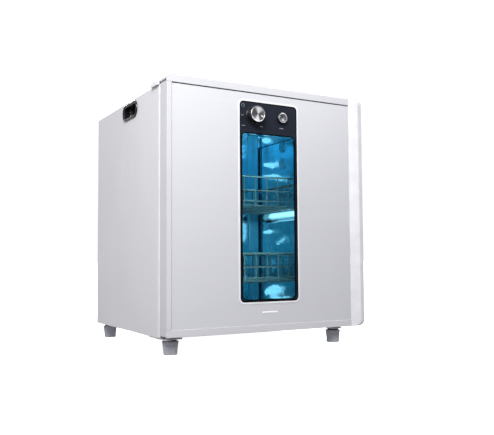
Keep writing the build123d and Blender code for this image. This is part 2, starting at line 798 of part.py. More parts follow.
with BuildPart() as door_handle:
    with BuildSketch(Plane.XY.offset(opening_bottom)):
        with BuildLine():
            Polyline(
                (handle_inner, panel_back),
                (right, panel_back),
                (right, door_front),
                (slant_x, hook_y),
                (nose_x, hook_y),
                (hook_x, hook_y + facet_drop),
                (hook_x, hook_back),
                (hook_x - hook_wall, hook_back),
                (hook_x - hook_wall, hook_y + facet_drop + hook_wall),
                (nose_x, hook_y + hook_wall),
                (slant_x + 1, hook_y + hook_wall),
                (right + 3, door_front + 3.6),
                (right + 3, door_back),
                (handle_inner, door_back),
                close=True,
            )
        make_face()
        hollow_x = (handle_inner + right) / 2
        with Locations((hollow_x + 1, (panel_back + door_back) / 2 + 0.5)):
            Rectangle(right - handle_inner - 4, door_back - panel_back - 5, mode=Mode.SUBTRACT)
    extrude(amount=opening_height)
    hook_edges = door_handle.edges().filter_by(Axis.Z)
    front_corner = hook_edges.filter_by_position(Axis.X, hook_x - 0.1, hook_x + 0.1)
    fillet(front_corner.sort_by(Axis.Y)[0], 1.6)
    fillet(front_corner.sort_by(Axis.Y)[-1], 1.2)
save(door_handle, "door_handle")

# The end caps close the hook at both ends and round off its outer corners.
cap_corner = 12.0
with BuildPart() as handle_end_caps:
    for z_from in (door_bottom, opening_top):
        with BuildSketch(Plane.XY.offset(z_from)):
            with BuildLine():
                Polyline(
                    (right, door_front),
                    (slant_x, hook_y),
                    (nose_x, hook_y),
                    (hook_x, hook_y + facet_drop),
                    (hook_x, hook_back),
                    (right + 3, door_back),
                    (right, door_back),
                    close=True,
                )
            make_face()
        extrude(amount=rail_height)
    upright = handle_end_caps.edges().filter_by(Axis.Z)
    outer_upright = upright.filter_by_position(Axis.X, hook_x - 0.1, hook_x + 0.1)
    fillet(outer_upright.group_by(Axis.Y)[0], 1.6)
    fillet(outer_upright.group_by(Axis.Y)[-1], 1.2)
    with BuildSketch(facing_front(door_back + 1)) as cap_outline:
        with Locations((middle, (door_bottom + door_top) / 2)):
            RectangleRounded(2 * (hook_x - middle), door_height, cap_corner)
    extrude(amount=door_thickness + handle_front + 2, mode=Mode.INTERSECT)
save(handle_end_caps, "handle_end_caps")

# ==== door panels, window and control strip ================================================
strip_left = left + 143.0
strip_right = left + 267.0
strip_low = door_bottom + 54.0
strip_high = door_bottom + 420.0
trim_width = 3.5
strip_corner = 8.0
strip_x = (strip_left + strip_right) / 2
strip_z = (strip_low + strip_high) / 2
strip_width = strip_right - strip_left
strip_height = strip_high - strip_low
glass_front = door_front + 1.6
glass_back = glass_front + 3.0
view_width = 113.0
view_low = door_bottom + 59.0
view_high = door_bottom + 361.0
view_height = view_high - view_low
view_x = left + 204.5
view_z = (view_low + view_high) / 2
tunnel_width = 160.0
tunnel_low = door_bottom + 46.0
tunnel_high = door_bottom + 372.0
tunnel_height = tunnel_high - tunnel_low
tunnel_x = left + 205.0
tunnel_z = (tunnel_low + tunnel_high) / 2
knob_x = left + 172.0
knob_z = door_bottom + 394.5
button_x = left + 232.5
button_z = door_bottom + 395.0
button_radius = 7.1
button_bore = 7.3
shaft_radius = 3.0

with BuildPart() as door_front_panel:
    with BuildSketch(facing_front(panel_back)):
        panel_left = left + stile_face
        with Locations(((panel_left + right) / 2, (opening_bottom + opening_top) / 2)):
            Rectangle(right - panel_left, opening_height)
        with Locations((strip_x, strip_z)):
            RectangleRounded(
                strip_width + 2 * trim_width, strip_height + 2 * trim_width,
                strip_corner + trim_width, mode=Mode.SUBTRACT,
            )
    extrude(amount=panel_thickness)
save(door_front_panel, "door_front_panel")

with BuildPart() as fascia_trim:
    with BuildSketch(facing_front(panel_back)):
        with Locations((strip_x, strip_z)):
            RectangleRounded(
                strip_width + 2 * trim_width, strip_height + 2 * trim_width, strip_corner + trim_width
            )
    extrude(amount=panel_recess + panel_thickness - 1.2)
    fillet(fascia_trim.faces().sort_by(Axis.Y)[0].edges(), 0.6)
    with BuildSketch(facing_front(panel_back + 1.5)):
        with Locations((strip_x, strip_z)):
            RectangleRounded(
                strip_width + 2 * trim_width + 8, strip_height + 2 * trim_width + 8, strip_corner + 6
            )
    extrude(amount=1.5)
    with BuildSketch(facing_front(panel_back + 2)):
        with Locations((strip_x, strip_z)):
            RectangleRounded(strip_width, strip_height, strip_corner)
    extrude(amount=10, mode=Mode.SUBTRACT)
save(fascia_trim, "fascia_trim")

with BuildPart() as control_fascia:
    with BuildSketch(facing_front(glass_back)):
        with Locations((strip_x, strip_z)):
            RectangleRounded(strip_width, strip_height, strip_corner)
        with Locations((view_x, view_z)):
            RectangleRounded(view_width, view_height, strip_corner, mode=Mode.SUBTRACT)
        with Locations((knob_x, knob_z)):
            Circle(shaft_radius + 1, mode=Mode.SUBTRACT)
        with Locations((button_x, button_z)):
            Circle(button_bore, mode=Mode.SUBTRACT)
    extrude(amount=glass_back - glass_front)
save(control_fascia, "control_fascia")

with BuildPart() as window_glass:
    with BuildSketch(facing_front(glass_back)):
        with Locations((view_x, view_z)):
            RectangleRounded(view_width, view_height, strip_corner)
    extrude(amount=glass_back - glass_front)
save(window_glass, "window_glass")

# Sheet tunnel through the door behind the window, larger than the window all round.
tunnel_sheet = 1.5
tunnel_corner = 8.0
pane_thickness = 3.0
tunnel_front = panel_back + 1.5
liner_front = door_back - door_skin
with BuildPart() as window_tunnel:
    with BuildSketch(facing_front(liner_front)):
        with Locations((tunnel_x, tunnel_z)):
            RectangleRounded(
                tunnel_width + 2 * tunnel_sheet, tunnel_height + 2 * tunnel_sheet,
                tunnel_corner + tunnel_sheet,
            )
            RectangleRounded(tunnel_width, tunnel_height, tunnel_corner, mode=Mode.SUBTRACT)
    extrude(amount=liner_front - tunnel_front)
save(window_tunnel, "window_tunnel")

with BuildPart() as inner_window_glass:
    with BuildSketch(facing_front(liner_front)):
        with Locations((tunnel_x, tunnel_z)):
            RectangleRounded(tunnel_width, tunnel_height, tunnel_corner)
    extrude(amount=pane_thickness)
save(inner_window_glass, "inner_window_glass")

with BuildPart() as door_inner_liner:
    with BuildSketch(facing_front(door_back)):
        liner_left = left + stile_width
        with Locations(((liner_left + handle_inner) / 2, (opening_bottom + opening_top) / 2)):
            Rectangle(handle_inner - liner_left, opening_height)
        with Locations((tunnel_x, tunnel_z)):
            RectangleRounded(tunnel_width - 6, tunnel_height - 6, 6, mode=Mode.SUBTRACT)
    extrude(amount=door_skin)
save(door_inner_liner, "door_inner_liner")

gasket_width = 9.0
gasket_height = door_gap - 0.2
with BuildPart() as door_gasket:
    with BuildSketch(facing_front(door_back + gasket_height)):
        with Locations((middle, chamber_mid_z)):
            RectangleRounded(
                chamber_right - chamber_left + 2 * (gasket_width + 1),
                chamber_height + 2 * (gasket_width + 1), 10,
            )
            RectangleRounded(
                chamber_right - chamber_left + 2, chamber_height + 2, 3, mode=Mode.SUBTRACT
            )
    extrude(amount=gasket_height)
save(door_gasket, "door_gasket")

# ==== timer knob and start button ==========================================================
knob_radius = 15.7
knob_front = door_front - knob_reach
knob_rim = 2.2
with BuildPart() as timer_body:
    block((knob_x - 20, glass_back, knob_z - 15.5), (knob_x + 20, glass_back + 18, knob_z + 15.5))
    fillet(timer_body.edges().filter_by(Axis.Y), 3)
    cylinder_y(knob_x, knob_z, shaft_radius + 0.05, glass_back, glass_back + 8, Mode.SUBTRACT)
save(timer_body, "timer_body")

with BuildPart() as timer_shaft:
    cylinder_y(knob_x, knob_z, shaft_radius, knob_front + 6, glass_back + 7.5)
save(timer_shaft, "timer_shaft")

with BuildPart() as timer_knob:
    cylinder_y(knob_x, knob_z, knob_radius, knob_front + 0.6, glass_front - 0.8)
    fillet(timer_knob.faces().sort_by(Axis.Y)[0].edges(), 1.0)
    cylinder_y(knob_x, knob_z, knob_radius - knob_rim, knob_front - 1, knob_front + 2, Mode.SUBTRACT)
    cylinder_y(knob_x, knob_z, shaft_radius, knob_front + 6, glass_front, Mode.SUBTRACT)
save(timer_knob, "timer_knob")

with BuildPart() as knob_cap:
    cylinder_y(knob_x, knob_z, knob_radius - knob_rim, knob_front, knob_front + 2)
    chamfer(knob_cap.faces().sort_by(Axis.Y)[0].edges(), 0.5)
save(knob_cap, "knob_cap")

with BuildPart() as start_button:
    cylinder_y(button_x, button_z, button_radius, door_front - 6.2, glass_back + 2.5)
    fillet(start_button.faces().sort_by(Axis.Y)[0].edges(), 0.8)
save(start_button, "start_button")

with BuildPart() as button_ring:
    cylinder_y(button_x, button_z, 10, door_front - 5, glass_front)
    fillet(button_ring.faces().sort_by(Axis.Y)[0].edges(), 1.0)
    cylinder_y(button_x, button_z, button_bore, door_front - 6, glass_front + 1, Mode.SUBTRACT)
save(button_ring, "button_ring")

with BuildPart() as start_switch:
    block((button_x - 9, glass_back + 6, button_z - 9), (button_x + 9, glass_back + 18, button_z + 9))
    fillet(start_switch.edges().filter_by(Axis.Y), 2)
save(start_switch, "start_switch")
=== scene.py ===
"""Looks of the bottle disinfecting cabinet: materials, fine pieces, light and camera."""

import json
import math

import bmesh
import bpy
from mathutils import Matrix, Quaternion, Vector


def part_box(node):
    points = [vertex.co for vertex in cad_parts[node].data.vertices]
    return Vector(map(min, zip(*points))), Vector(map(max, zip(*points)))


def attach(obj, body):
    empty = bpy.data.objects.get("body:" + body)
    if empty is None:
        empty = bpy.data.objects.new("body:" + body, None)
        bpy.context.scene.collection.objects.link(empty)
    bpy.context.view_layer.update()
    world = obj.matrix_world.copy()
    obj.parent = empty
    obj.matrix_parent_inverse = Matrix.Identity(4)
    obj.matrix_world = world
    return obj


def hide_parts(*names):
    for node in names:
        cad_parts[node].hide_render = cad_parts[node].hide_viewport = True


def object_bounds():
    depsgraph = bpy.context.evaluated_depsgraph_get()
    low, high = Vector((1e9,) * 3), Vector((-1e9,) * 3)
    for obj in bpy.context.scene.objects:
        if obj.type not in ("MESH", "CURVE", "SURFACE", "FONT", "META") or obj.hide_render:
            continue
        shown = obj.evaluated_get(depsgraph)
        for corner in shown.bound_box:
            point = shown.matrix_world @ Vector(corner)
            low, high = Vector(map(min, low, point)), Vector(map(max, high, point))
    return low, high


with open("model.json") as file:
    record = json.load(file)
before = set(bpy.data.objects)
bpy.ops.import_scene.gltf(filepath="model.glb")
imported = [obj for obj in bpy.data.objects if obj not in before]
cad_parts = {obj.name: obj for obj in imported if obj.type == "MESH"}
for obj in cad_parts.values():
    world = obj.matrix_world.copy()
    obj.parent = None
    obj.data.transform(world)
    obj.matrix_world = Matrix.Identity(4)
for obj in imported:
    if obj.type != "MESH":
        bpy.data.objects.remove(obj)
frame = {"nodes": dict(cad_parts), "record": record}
cad_low, cad_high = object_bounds()
nodes = frame["nodes"]
scene = bpy.context.scene
MM = 0.001
RIGHT, BACK, UP = Vector((1, 0, 0)), Vector((0, 1, 0)), Vector((0, 0, 1))


# ---- measures read from the frame ----
class Span:
    """A CAD node's box: its corners, middle and size."""

    def __init__(self, node):
        self.low, self.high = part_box(node)
        self.mid = (self.low + self.high) / 2
        self.size = self.high - self.low


# ---- mesh tools ----
BEND_STEPS = 5
CORNER_STEPS = 6


def rounded_path(points, radius):
    """Straight runs through the points, with a round bend at each corner between the two ends."""
    path = [points[0].copy()]
    for before, corner, after in zip(points, points[1:], points[2:]):
        back = (before - corner).normalized()
        ahead = (after - corner).normalized()
        half = back.angle(ahead) / 2
        centre = corner + (back + ahead).normalized() * (radius / math.sin(half))
        start = (corner + back * (radius / math.tan(half)) - centre).normalized()
        end = (corner + ahead * (radius / math.tan(half)) - centre).normalized()
        for step in range(BEND_STEPS + 1):
            path.append(centre + start.slerp(end, step / BEND_STEPS) * radius)
    return path + [points[-1].copy()]


def add_tube(bm, path, radius, sides=8, closed=False):
    """A round bar along a path."""
    count = len(path)
    rings = []
    normal = None
    for i, point in enumerate(path):
        before = path[i - 1] if closed or i > 0 else point
        after = path[(i + 1) % count] if closed or i < count - 1 else point
        along = (after - before).normalized()
        normal = along.orthogonal() if normal is None else normal - along * normal.dot(along)
        normal.normalize()
        side = along.cross(normal)
        turns = [math.tau * k / sides for k in range(sides)]
        ring = [point + (normal * math.cos(a) + side * math.sin(a)) * radius for a in turns]
        rings.append([bm.verts.new(p) for p in ring])
    join_rings(bm, rings, closed)
    if not closed:
        bm.faces.new(list(reversed(rings[0])))
        bm.faces.new(rings[-1])


def join_rings(bm, rings, closed=False):
    """Quads between each ring of vertices and the next."""
    pairs = list(zip(rings, rings[1:]))
    if closed:
        pairs.append((rings[-1], rings[0]))
    for a, b in pairs:
        for k in range(len(a)):
            n = (k + 1) % len(a)
            bm.faces.new((a[k], a[n], b[n], b[k]))


def add_loft(bm, loops, cap_start=True, cap_end=True, closed=False):
    """A skin through loops that all have the same number of points."""
    rings = [[bm.verts.new(p) for p in loop] for loop in loops]
    join_rings(bm, rings, closed)
    if cap_start and not closed:
        bm.faces.new(list(reversed(rings[0])))
    if cap_end and not closed:
        bm.faces.new(rings[-1])


def outline(width, height, radius):
    """A rounded rectangle as (across, up) points round its middle."""
    radius = max(min(radius, width / 2, height / 2), 1e-5)
    points = []
    for quarter, (sx, sy) in enumerate(((1, 1), (-1, 1), (-1, -1), (1, -1))):
        cx = sx * (width / 2 - radius)
        cy = sy * (height / 2 - radius)
        for step in range(CORNER_STEPS + 1):
            a = math.pi / 2 * (quarter + step / CORNER_STEPS)
            points.append((cx + radius * math.cos(a), cy + radius * math.sin(a)))
    return points


def moulded(
    bm, width, height, radius, profile, across, up, out, origin=Vector(), cap=True, closed=False
):
    """A rounded-rectangle moulding: each (inset, rise) of the profile is one loop round it."""
    loops = []
    for inset, rise in profile:
        shape = outline(width - 2 * inset, height - 2 * inset, radius - inset)
        loops.append([origin + across * u + up * v + out * rise for u, v in shape])
    add_loft(bm, loops, cap_start=False, cap_end=cap, closed=closed)


def add_lathe(bm, profile, origin, axis, segments=40):
    """Turns (radius, height) points round an axis; radius 0 closes the end."""
    across = axis.orthogonal().normalized()
    side = axis.cross(across)
    rings = []
    for radius, height in profile:
        centre = origin + axis * height
        if radius < 1e-7:
            rings.append([bm.verts.new(centre)])
            continue
        turns = [math.tau * k / segments for k in range(segments)]
        ring = [centre + (across * math.cos(a) + side * math.sin(a)) * radius for a in turns]
        rings.append([bm.verts.new(p) for p in ring])
    for a, b in zip(rings, rings[1:]):
        for k in range(segments):
            n = (k + 1) % segments
            if len(a) == 1:
                bm.faces.new((a[0], b[n], b[k]))
            elif len(b) == 1:
                bm.faces.new((a[k], a[n], b[0]))
            else:
                bm.faces.new((a[k], a[n], b[n], b[k]))


def add_screw_head(bm, origin, axis, radius, rise):
    """A pan head with a cross recess, as a height field over rings round its axis."""
    across = axis.orthogonal().normalized()
    side = axis.cross(across)
    shares = (0.1, 0.2, 0.34, 0.46, 0.56, 0.66, 0.8, 0.92, 1.0)
    slot_half, slot_reach, slot_depth = 0.13 * radius, 0.62 * radius, 0.42 * rise
    segments = 32
    rings = [[bm.verts.new(origin + axis * (rise - slot_depth))]]
    for share in shares:
        ring = []
        for k in range(segments):
            a = math.tau * k / segments
            u, v = share * radius * math.cos(a), share * radius * math.sin(a)
            height = rise * math.sqrt(max(0.0, 1 - 0.72 * share ** 4))
            arm, cross = max(abs(u), abs(v)), min(abs(u), abs(v))
            if cross < slot_half and arm < slot_reach:
                height -= slot_depth
            ring.append(bm.verts.new(origin + across * u + side * v + axis * height))
        rings.append(ring)
    rings.append([bm.verts.new(v.co - axis * (v.co - origin).dot(axis)) for v in rings[-1]])
    for k in range(segments):
        bm.faces.new((rings[0][0], rings[1][k], rings[1][(k + 1) % segments]))
    join_rings(bm, rings[1:])


def mesh_object(name, bm, material):
    """Puts the mesh in the scene as an object with one material."""
    mesh = bpy.data.meshes.new(name)
    bm.to_mesh(mesh)
    bm.free()
    mesh.materials.append(material)
    made = bpy.data.objects.new(name, mesh)
    scene.collection.objects.link(made)
    return made


def piece(name, bm, body, slot, stands_for=(), origin=Vector(), finish=None, sharp=32):
    """Makes an object from the mesh and hangs it on a body, in its slot's or its own finish."""
    bmesh.ops.recalc_face_normals(bm, faces=bm.faces)
    for face in bm.faces:
        face.smooth = True
    made = mesh_object(name, bm, finish or finishes[slot])
    made.data.set_sharp_from_angle(angle=math.radians(sharp))
    made.location = origin
    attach(made, body)
    if stands_for:
        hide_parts(*stands_for)
    return made


# ---- material tools ----
class Finish:
    """A Principled material, with helpers that hang procedural detail on it."""

    def __init__(self, name, color, roughness, metallic=0.0, **fixed):
        self.material = bpy.data.materials.new(name)
        self.material.use_nodes = True
        self.tree = self.material.node_tree
        self.shader = self.tree.nodes["Principled BSDF"]
        self.shader.inputs["Base Color"].default_value = (*color, 1)
        self.shader.inputs["Roughness"].default_value = roughness
        self.shader.inputs["Metallic"].default_value = metallic
        for socket, value in fixed.items():
            self.shader.inputs[socket.replace("_", " ")].default_value = value
        self.color = color
        self.height = None

    def node(self, kind, **values):
        made = self.tree.nodes.new(kind)
        for key, value in values.items():
            if key in made.inputs:
                made.inputs[key].default_value = value
            else:
                setattr(made, key, value)
        return made

    def link(self, source, target):
        self.tree.links.new(source, target)

    def space(self, stretch=(1, 1, 1)):
        """Object coordinates, stretched so that noise follows a grain."""
        where = self.node("ShaderNodeTexCoord")
        mapping = self.node("ShaderNodeMapping")
        mapping.inputs["Scale"].default_value = stretch
        self.link(where.outputs["Object"], mapping.inputs["Vector"])
        return mapping.outputs["Vector"]

    def object_axes(self):
        """The object's own X, Y and Z."""
        where = self.node("ShaderNodeTexCoord")
        parts = self.node("ShaderNodeSeparateXYZ")
        self.link(where.outputs["Object"], parts.inputs["Vector"])
        return parts.outputs

    def operate(self, operation, *values):
        made = self.node("ShaderNodeMath", operation=operation)
        for k, value in enumerate(values):
            self.link(value, made.inputs[k])
        return made.outputs[0]

    def rescale(self, value, low, high, to_low=0.0, to_high=1.0):
        """Carries low to to_low and high to to_high, and stops at both."""
        made = self.node("ShaderNodeMapRange")
        made.inputs["From Min"].default_value = low
        made.inputs["From Max"].default_value = high
        made.inputs["To Min"].default_value = to_low
        made.inputs["To Max"].default_value = to_high
        self.link(value, made.inputs["Value"])
        return made.outputs["Result"]

    def noise(self, scale, stretch=(1, 1, 1), detail=3.0, distortion=0.0):
        made = self.node("ShaderNodeTexNoise", Scale=scale, Detail=detail, Distortion=distortion)
        self.link(self.space(stretch), made.inputs["Vector"])
        return made.outputs["Fac"]

    def ramp(self, factor, stops):
        """A colour ramp over (place, grey or colour) stops."""
        made = self.node("ShaderNodeValToRGB")
        elements = made.color_ramp.elements
        while len(elements) < len(stops):
            elements.new(0.5)
        for element, (place, value) in zip(elements, stops):
            element.position = place
            tone = value if isinstance(value, tuple) else (value, value, value)
            element.color = (*tone, 1)
        self.link(factor, made.inputs["Fac"])
        return made.outputs["Color"]

    def tint(self, factor, dark, light):
        """Base colour from dark to light shares of the finish's colour."""
        low = tuple(c * dark for c in self.color)
        high = tuple(min(1.0, c * light) for c in self.color)
        self.link(self.ramp(factor, ((0.25, low), (0.75, high))), self.shader.inputs["Base Color"])
        return self

    def uneven(self, factor, low, high):
        """Roughness that wanders between two values."""
        self.link(self.ramp(factor, ((0.2, low), (0.8, high))), self.shader.inputs["Roughness"])
        return self

    def bump(self, factor, strength, distance):
        made = self.node("ShaderNodeBump", Strength=strength, Distance=distance)
        self.link(factor, made.inputs["Height"])
        if self.height is not None:
            self.link(self.height, made.inputs["Normal"])
        self.height = made.outputs["Normal"]
        self.link(self.height, self.shader.inputs["Normal"])
        return self


def powder_coat(name, color, roughness=0.46):
    """Baked paint with a faint orange-peel texture."""
    made = Finish(name, color, roughness, Coat_Weight=0.12, Coat_Roughness=0.3)
    made.tint(made.noise(7, detail=4), 0.965, 1.03)
    made.uneven(made.noise(60), roughness - 0.05, roughness + 0.07)
    made.bump(made.noise(1400, detail=2), 0.16, 0.0003)
    return made.material


def satin_metal(name, color, roughness, metallic, grain, tone=(0.95, 1.05), waviness=0.0):
    """Sheet metal: grain stretches the noise into fine lines, waviness makes it less than flat."""
    made = Finish(name, color, roughness, metallic)
    made.tint(made.noise(150, grain, detail=5), *tone)
    made.uneven(made.noise(420, grain), roughness - 0.06, roughness + 0.08)
    made.bump(made.noise(900, grain, detail=2), 0.07, 0.0002)
    if waviness:
        made.bump(made.noise(9, detail=1), waviness, 0.01)
        made.bump(made.noise(32, detail=2, distortion=0.6), 0.5 * waviness, 0.003)
    return made.material


def moulded_plastic(name, color, roughness, texture=900, depth=0.08, specular=0.5):
    """Plastic with a fine grain: texture is the grain's scale and depth its strength."""
    made = Finish(name, color, roughness, Specular_IOR_Level=specular)
    made.tint(made.noise(40, detail=5), 0.92, 1.07)
    made.uneven(made.noise(180), max(0.03, roughness - 0.06), roughness + 0.08)
    made.bump(made.noise(texture, detail=2), depth, 0.0003)
    return made.material


def soft_rubber(name, color, roughness=0.62):
    """Dull rubber with a speckled surface."""
    made = Finish(name, color, roughness, Sheen_Weight=0.15, Sheen_Roughness=0.5)
    made.tint(made.noise(260, detail=6), 0.8, 1.2)
    made.bump(made.noise(1500), 0.25, 0.0004)
    return made.material


def clear_pane(name, color, ior):
    """Tinted low-reflection glass with faint smears on its faces."""
    made = Finish(name, color, 0.01, Transmission_Weight=1.0, IOR=ior)
    made.uneven(made.noise(25, (1, 1, 0.4), detail=4), 0.0, 0.03)
    return made.material


def turned_metal_painted_highlights(name, color, roughness, painted_highlights):
    """A turned face: fine rings, and painted highlights, light and dark sectors round its centre
    along Y that stand in for the sheen of its turning.
    """
    made = Finish(name, color, roughness, 0.85)
    axes = made.object_axes()
    angle = made.operate("ARCTAN2", axes["Z"], axes["X"])
    share = made.rescale(angle, -math.pi, math.pi)
    # Painted highlights: the colour turns lighter and darker with the angle round the centre.
    stops = [(place, tuple(c * tone for c in color)) for place, tone in painted_highlights]
    made.link(made.ramp(share, stops), made.shader.inputs["Base Color"])
    rings = made.node("ShaderNodeTexWave", wave_type="RINGS", rings_direction="Y", Scale=900.0)
    made.link(made.space(), rings.inputs["Vector"])
    made.bump(rings.outputs["Fac"], 0.12, 0.0001)
    return made.material


def glowing_tube(name, color, strength, radius, half_length):
    """Quartz tube along Y that glows at its sides, and is dull at its ends, top and bottom."""
    made = Finish(name, (0.85, 0.95, 1.0), 0.08, Emission_Strength=strength)
    axes = made.object_axes()
    reach = made.rescale(made.operate("ABSOLUTE", axes["Y"]), 0.0, half_length)
    dull = tuple(c * 0.08 for c in color)
    along = made.ramp(reach, ((0.0, color), (0.72, color), (0.80, dull)))
    made.link(along, made.shader.inputs["Emission Color"])
    rise = made.operate("ABSOLUTE", axes["Z"])
    round_it = made.rescale(rise, 0.5 * radius, 0.8 * radius, strength, 0.25 * strength)
    made.link(round_it, made.shader.inputs["Emission Strength"])
    return made.material


# ---- materials ----
EVEN, ALONG_X, ALONG_Y, ALONG_Z = (1, 1, 1), (0.02, 1, 1), (1, 0.02, 1), (1, 1, 0.02)
# Painted highlights and shade round a turned face, as (share of the turn, share of the colour).
KNOB_PAINTED_HIGHLIGHTS = (
    (0.0, 0.10), (0.06, 0.12), (0.14, 0.25), (0.17, 0.85), (0.27, 1.0), (0.31, 0.2),
    (0.42, 0.10), (0.58, 0.16), (0.62, 0.65), (0.74, 1.0), (0.82, 0.5), (0.86, 0.10), (1.0, 0.10),
)
BUTTON_PAINTED_HIGHLIGHTS = ((0.0, 0.3), (0.2, 0.7), (0.45, 0.25), (0.6, 0.75), (0.85, 0.3), (1.0, 0.3))

lamp_size = Span("uv_lamp_tube").size
finishes = {
    "side_paint": powder_coat("side_paint", (0.435, 0.435, 0.463)),
    "white_plastic": moulded_plastic("white_plastic", (0.50, 0.50, 0.525), 0.38),
    "zinc_steel": satin_metal("zinc_steel", (0.55, 0.56, 0.58), 0.32, 0.9, EVEN, (0.85, 1.1)),
    "black_plastic": moulded_plastic("black_plastic", (0.014, 0.014, 0.017), 0.4, depth=0.2),
    # The chamber steel's cyan tint is partly the steel's own cool tone and partly painted blue lamp
    # light.
    "stainless": satin_metal(
        "stainless", (0.58, 0.68, 0.74), 0.14, 0.94, ALONG_Y, (0.9, 1.06), waviness=0.6
    ),
    "heater_metal": satin_metal("heater_metal", (0.5, 0.5, 0.5), 0.4, 0.8, ALONG_Z),
    "ballast_steel": powder_coat("ballast_steel", (0.5, 0.5, 0.48), 0.4),
    "basket_wire": satin_metal(
        "basket_wire", (0.31, 0.235, 0.20), 0.34, 0.3, EVEN, (0.75, 1.15)
    ),
    "grey_rubber": soft_rubber("grey_rubber", (0.245, 0.25, 0.285)),
    "frame_white": powder_coat("frame_white", (0.37, 0.37, 0.396), 0.4),
    "handle_white": moulded_plastic("handle_white", (0.455, 0.455, 0.483), 0.36),
    "silver_panel": satin_metal(
        "silver_panel", (0.425, 0.427, 0.454), 0.5, 0.25, ALONG_X, (0.992, 1.008)
    ),
    "gasket_rubber": soft_rubber("gasket_rubber", (0.035, 0.035, 0.038), 0.55),
    "fascia_black": moulded_plastic(
        "fascia_black", (0.011, 0.0135, 0.020), 0.12, 300, 0.01, specular=0.3
    ),
    "window_glass": clear_pane("window_glass", (0.62, 0.92, 1.0), 1.1),
    "timer_plastic": moulded_plastic("timer_plastic", (0.55, 0.52, 0.46), 0.5),
    "knob_black": moulded_plastic(
        "knob_black", (0.006, 0.006, 0.008), 0.26, 300, 0.02, specular=0.3
    ),
    "brushed_metal": satin_metal("brushed_metal", (0.50, 0.50, 0.52), 0.26, 0.95, EVEN),
    # The start button's face carries painted highlights.
    "button_dark": turned_metal_painted_highlights("button_dark", (0.28, 0.29, 0.32), 0.3, BUTTON_PAINTED_HIGHLIGHTS),
    "lamp_glass": glowing_tube(
        "lamp_glass", (0.75, 0.98, 1.0), 1.35, lamp_size.x / 2, lamp_size.y / 2
    ),
}
# Finishes that share a slot with a plainer one.
# The chamber's posts, runners and rosettes are tinted teal: painted blue light from the lamp.
brushed_stainless_painted_blue_light = satin_metal(
    "brushed_stainless_painted_blue_light", (0.5, 0.70, 0.80), 0.38, 0.9, ALONG_Z, (0.85, 1.08)
)
door_liner_sheet = satin_metal(
    "door_liner_sheet", (0.60, 0.64, 0.67), 0.3, 0.85, ALONG_Z, (0.93, 1.05), waviness=0.12
)
perforated_steel_painted_blue_light = satin_metal("perforated_steel_painted_blue_light", (0.32, 0.48, 0.55), 0.36, 0.85, EVEN)
# The knob's face carries painted highlights.
knob_face = turned_metal_painted_highlights("knob_face", (0.66, 0.66, 0.70), 0.3, KNOB_PAINTED_HIGHLIGHTS)
gloss_black = moulded_plastic("gloss_black", (0.006, 0.006, 0.008), 0.14, 300, 0.03)
# Black for print, and also for the painted shadow lines.
print_and_painted_shadow_black = moulded_plastic("print_and_painted_shadow_black", (0.002, 0.003, 0.005), 0.2, 300, 0.01, specular=0.15)
print_grey = moulded_plastic("print_grey", (0.16, 0.17, 0.19), 0.5, 300, 0.01)
mark_white = moulded_plastic("mark_white", (0.85, 0.85, 0.86), 0.4)
emblem_metal = satin_metal("emblem_metal", (0.92, 0.92, 0.93), 0.35, 0.5, ALONG_X)

slot_of = {part["node"]: part["material_slot"] for part in frame["record"]["subparts"]}
for name, node in nodes.items():
    node.data.materials.clear()
    node.data.materials.append(finishes[slot_of[name]])
for name, finish in (
    ("corner_posts", brushed_stainless_painted_blue_light), ("basket_runners", brushed_stainless_painted_blue_light),
    ("door_inner_liner", door_liner_sheet), ("wall_rosettes", perforated_steel_painted_blue_light),
):
    nodes[name].data.materials[0] = finish


def soften_edges(name, width):
    """Rounds a CAD node's sharp edges with modifiers, and leaves its mesh as it is."""
    node = nodes[name]
    weld = node.modifiers.new("weld", "WELD")
    weld.merge_threshold = 0.01 * MM
    bevel = node.modifiers.new("edges", "BEVEL")
    bevel.width = width * MM
    bevel.segments = 2
    bevel.limit_method = "ANGLE"
    bevel.angle_limit = math.radians(40)
    bevel.use_clamp_overlap = True
    normals = node.modifiers.new("normals", "WEIGHTED_NORMAL")
    normals.keep_sharp = False


# Edge widths in millimetres, and the nodes that have them.
EDGE_WIDTHS = {
    0.2: ("door_front_panel", "door_inner_liner", "window_tunnel"),
    0.25: ("ceiling_edge_strips",),
    0.3: (
        "left_side_panel", "right_side_panel", "top_panel", "back_panel", "base_pan",
        "upper_hinge_bracket", "basket_runners", "fascia_trim",
    ),
    0.4: ("lower_hinge_bracket", "right_foot_bracket", "door_top_rail"),
    0.5: (
        "front_frame", "upper_hinge_cover", "door_bottom_rail", "door_hinge_stile", "door_handle",
        "corner_posts", "rear_vent_cover", "fan_housing", "door_switch", "lamp_ballast",
        "timer_body", "start_switch",
    ),
    0.6: ("lamp_holders",),
}
for width, names in EDGE_WIDTHS.items():
    for name in names:
        soften_edges(name, width)


# ---- baskets: welded round wire ----
RAIL_REACH = 14 * MM
WIRE, RIM_WIRE = 1.1 * MM, 2.0 * MM
WIRE_PITCH = 25 * MM
CROSS_WIRES, LONG_WIRES, RAIL_WIRES = 12, 9, 5
WIRE_BEND, RAIL_BEND, RING_CORNER = 6 * MM, 5 * MM, 12 * MM
MID_DROP, LOW_RING_RISE, RING_INSET = 26 * MM, 9 * MM, 0.9 * MM
RAIL_FOOT, RAIL_SHOULDER = 14 * MM, 4 * MM


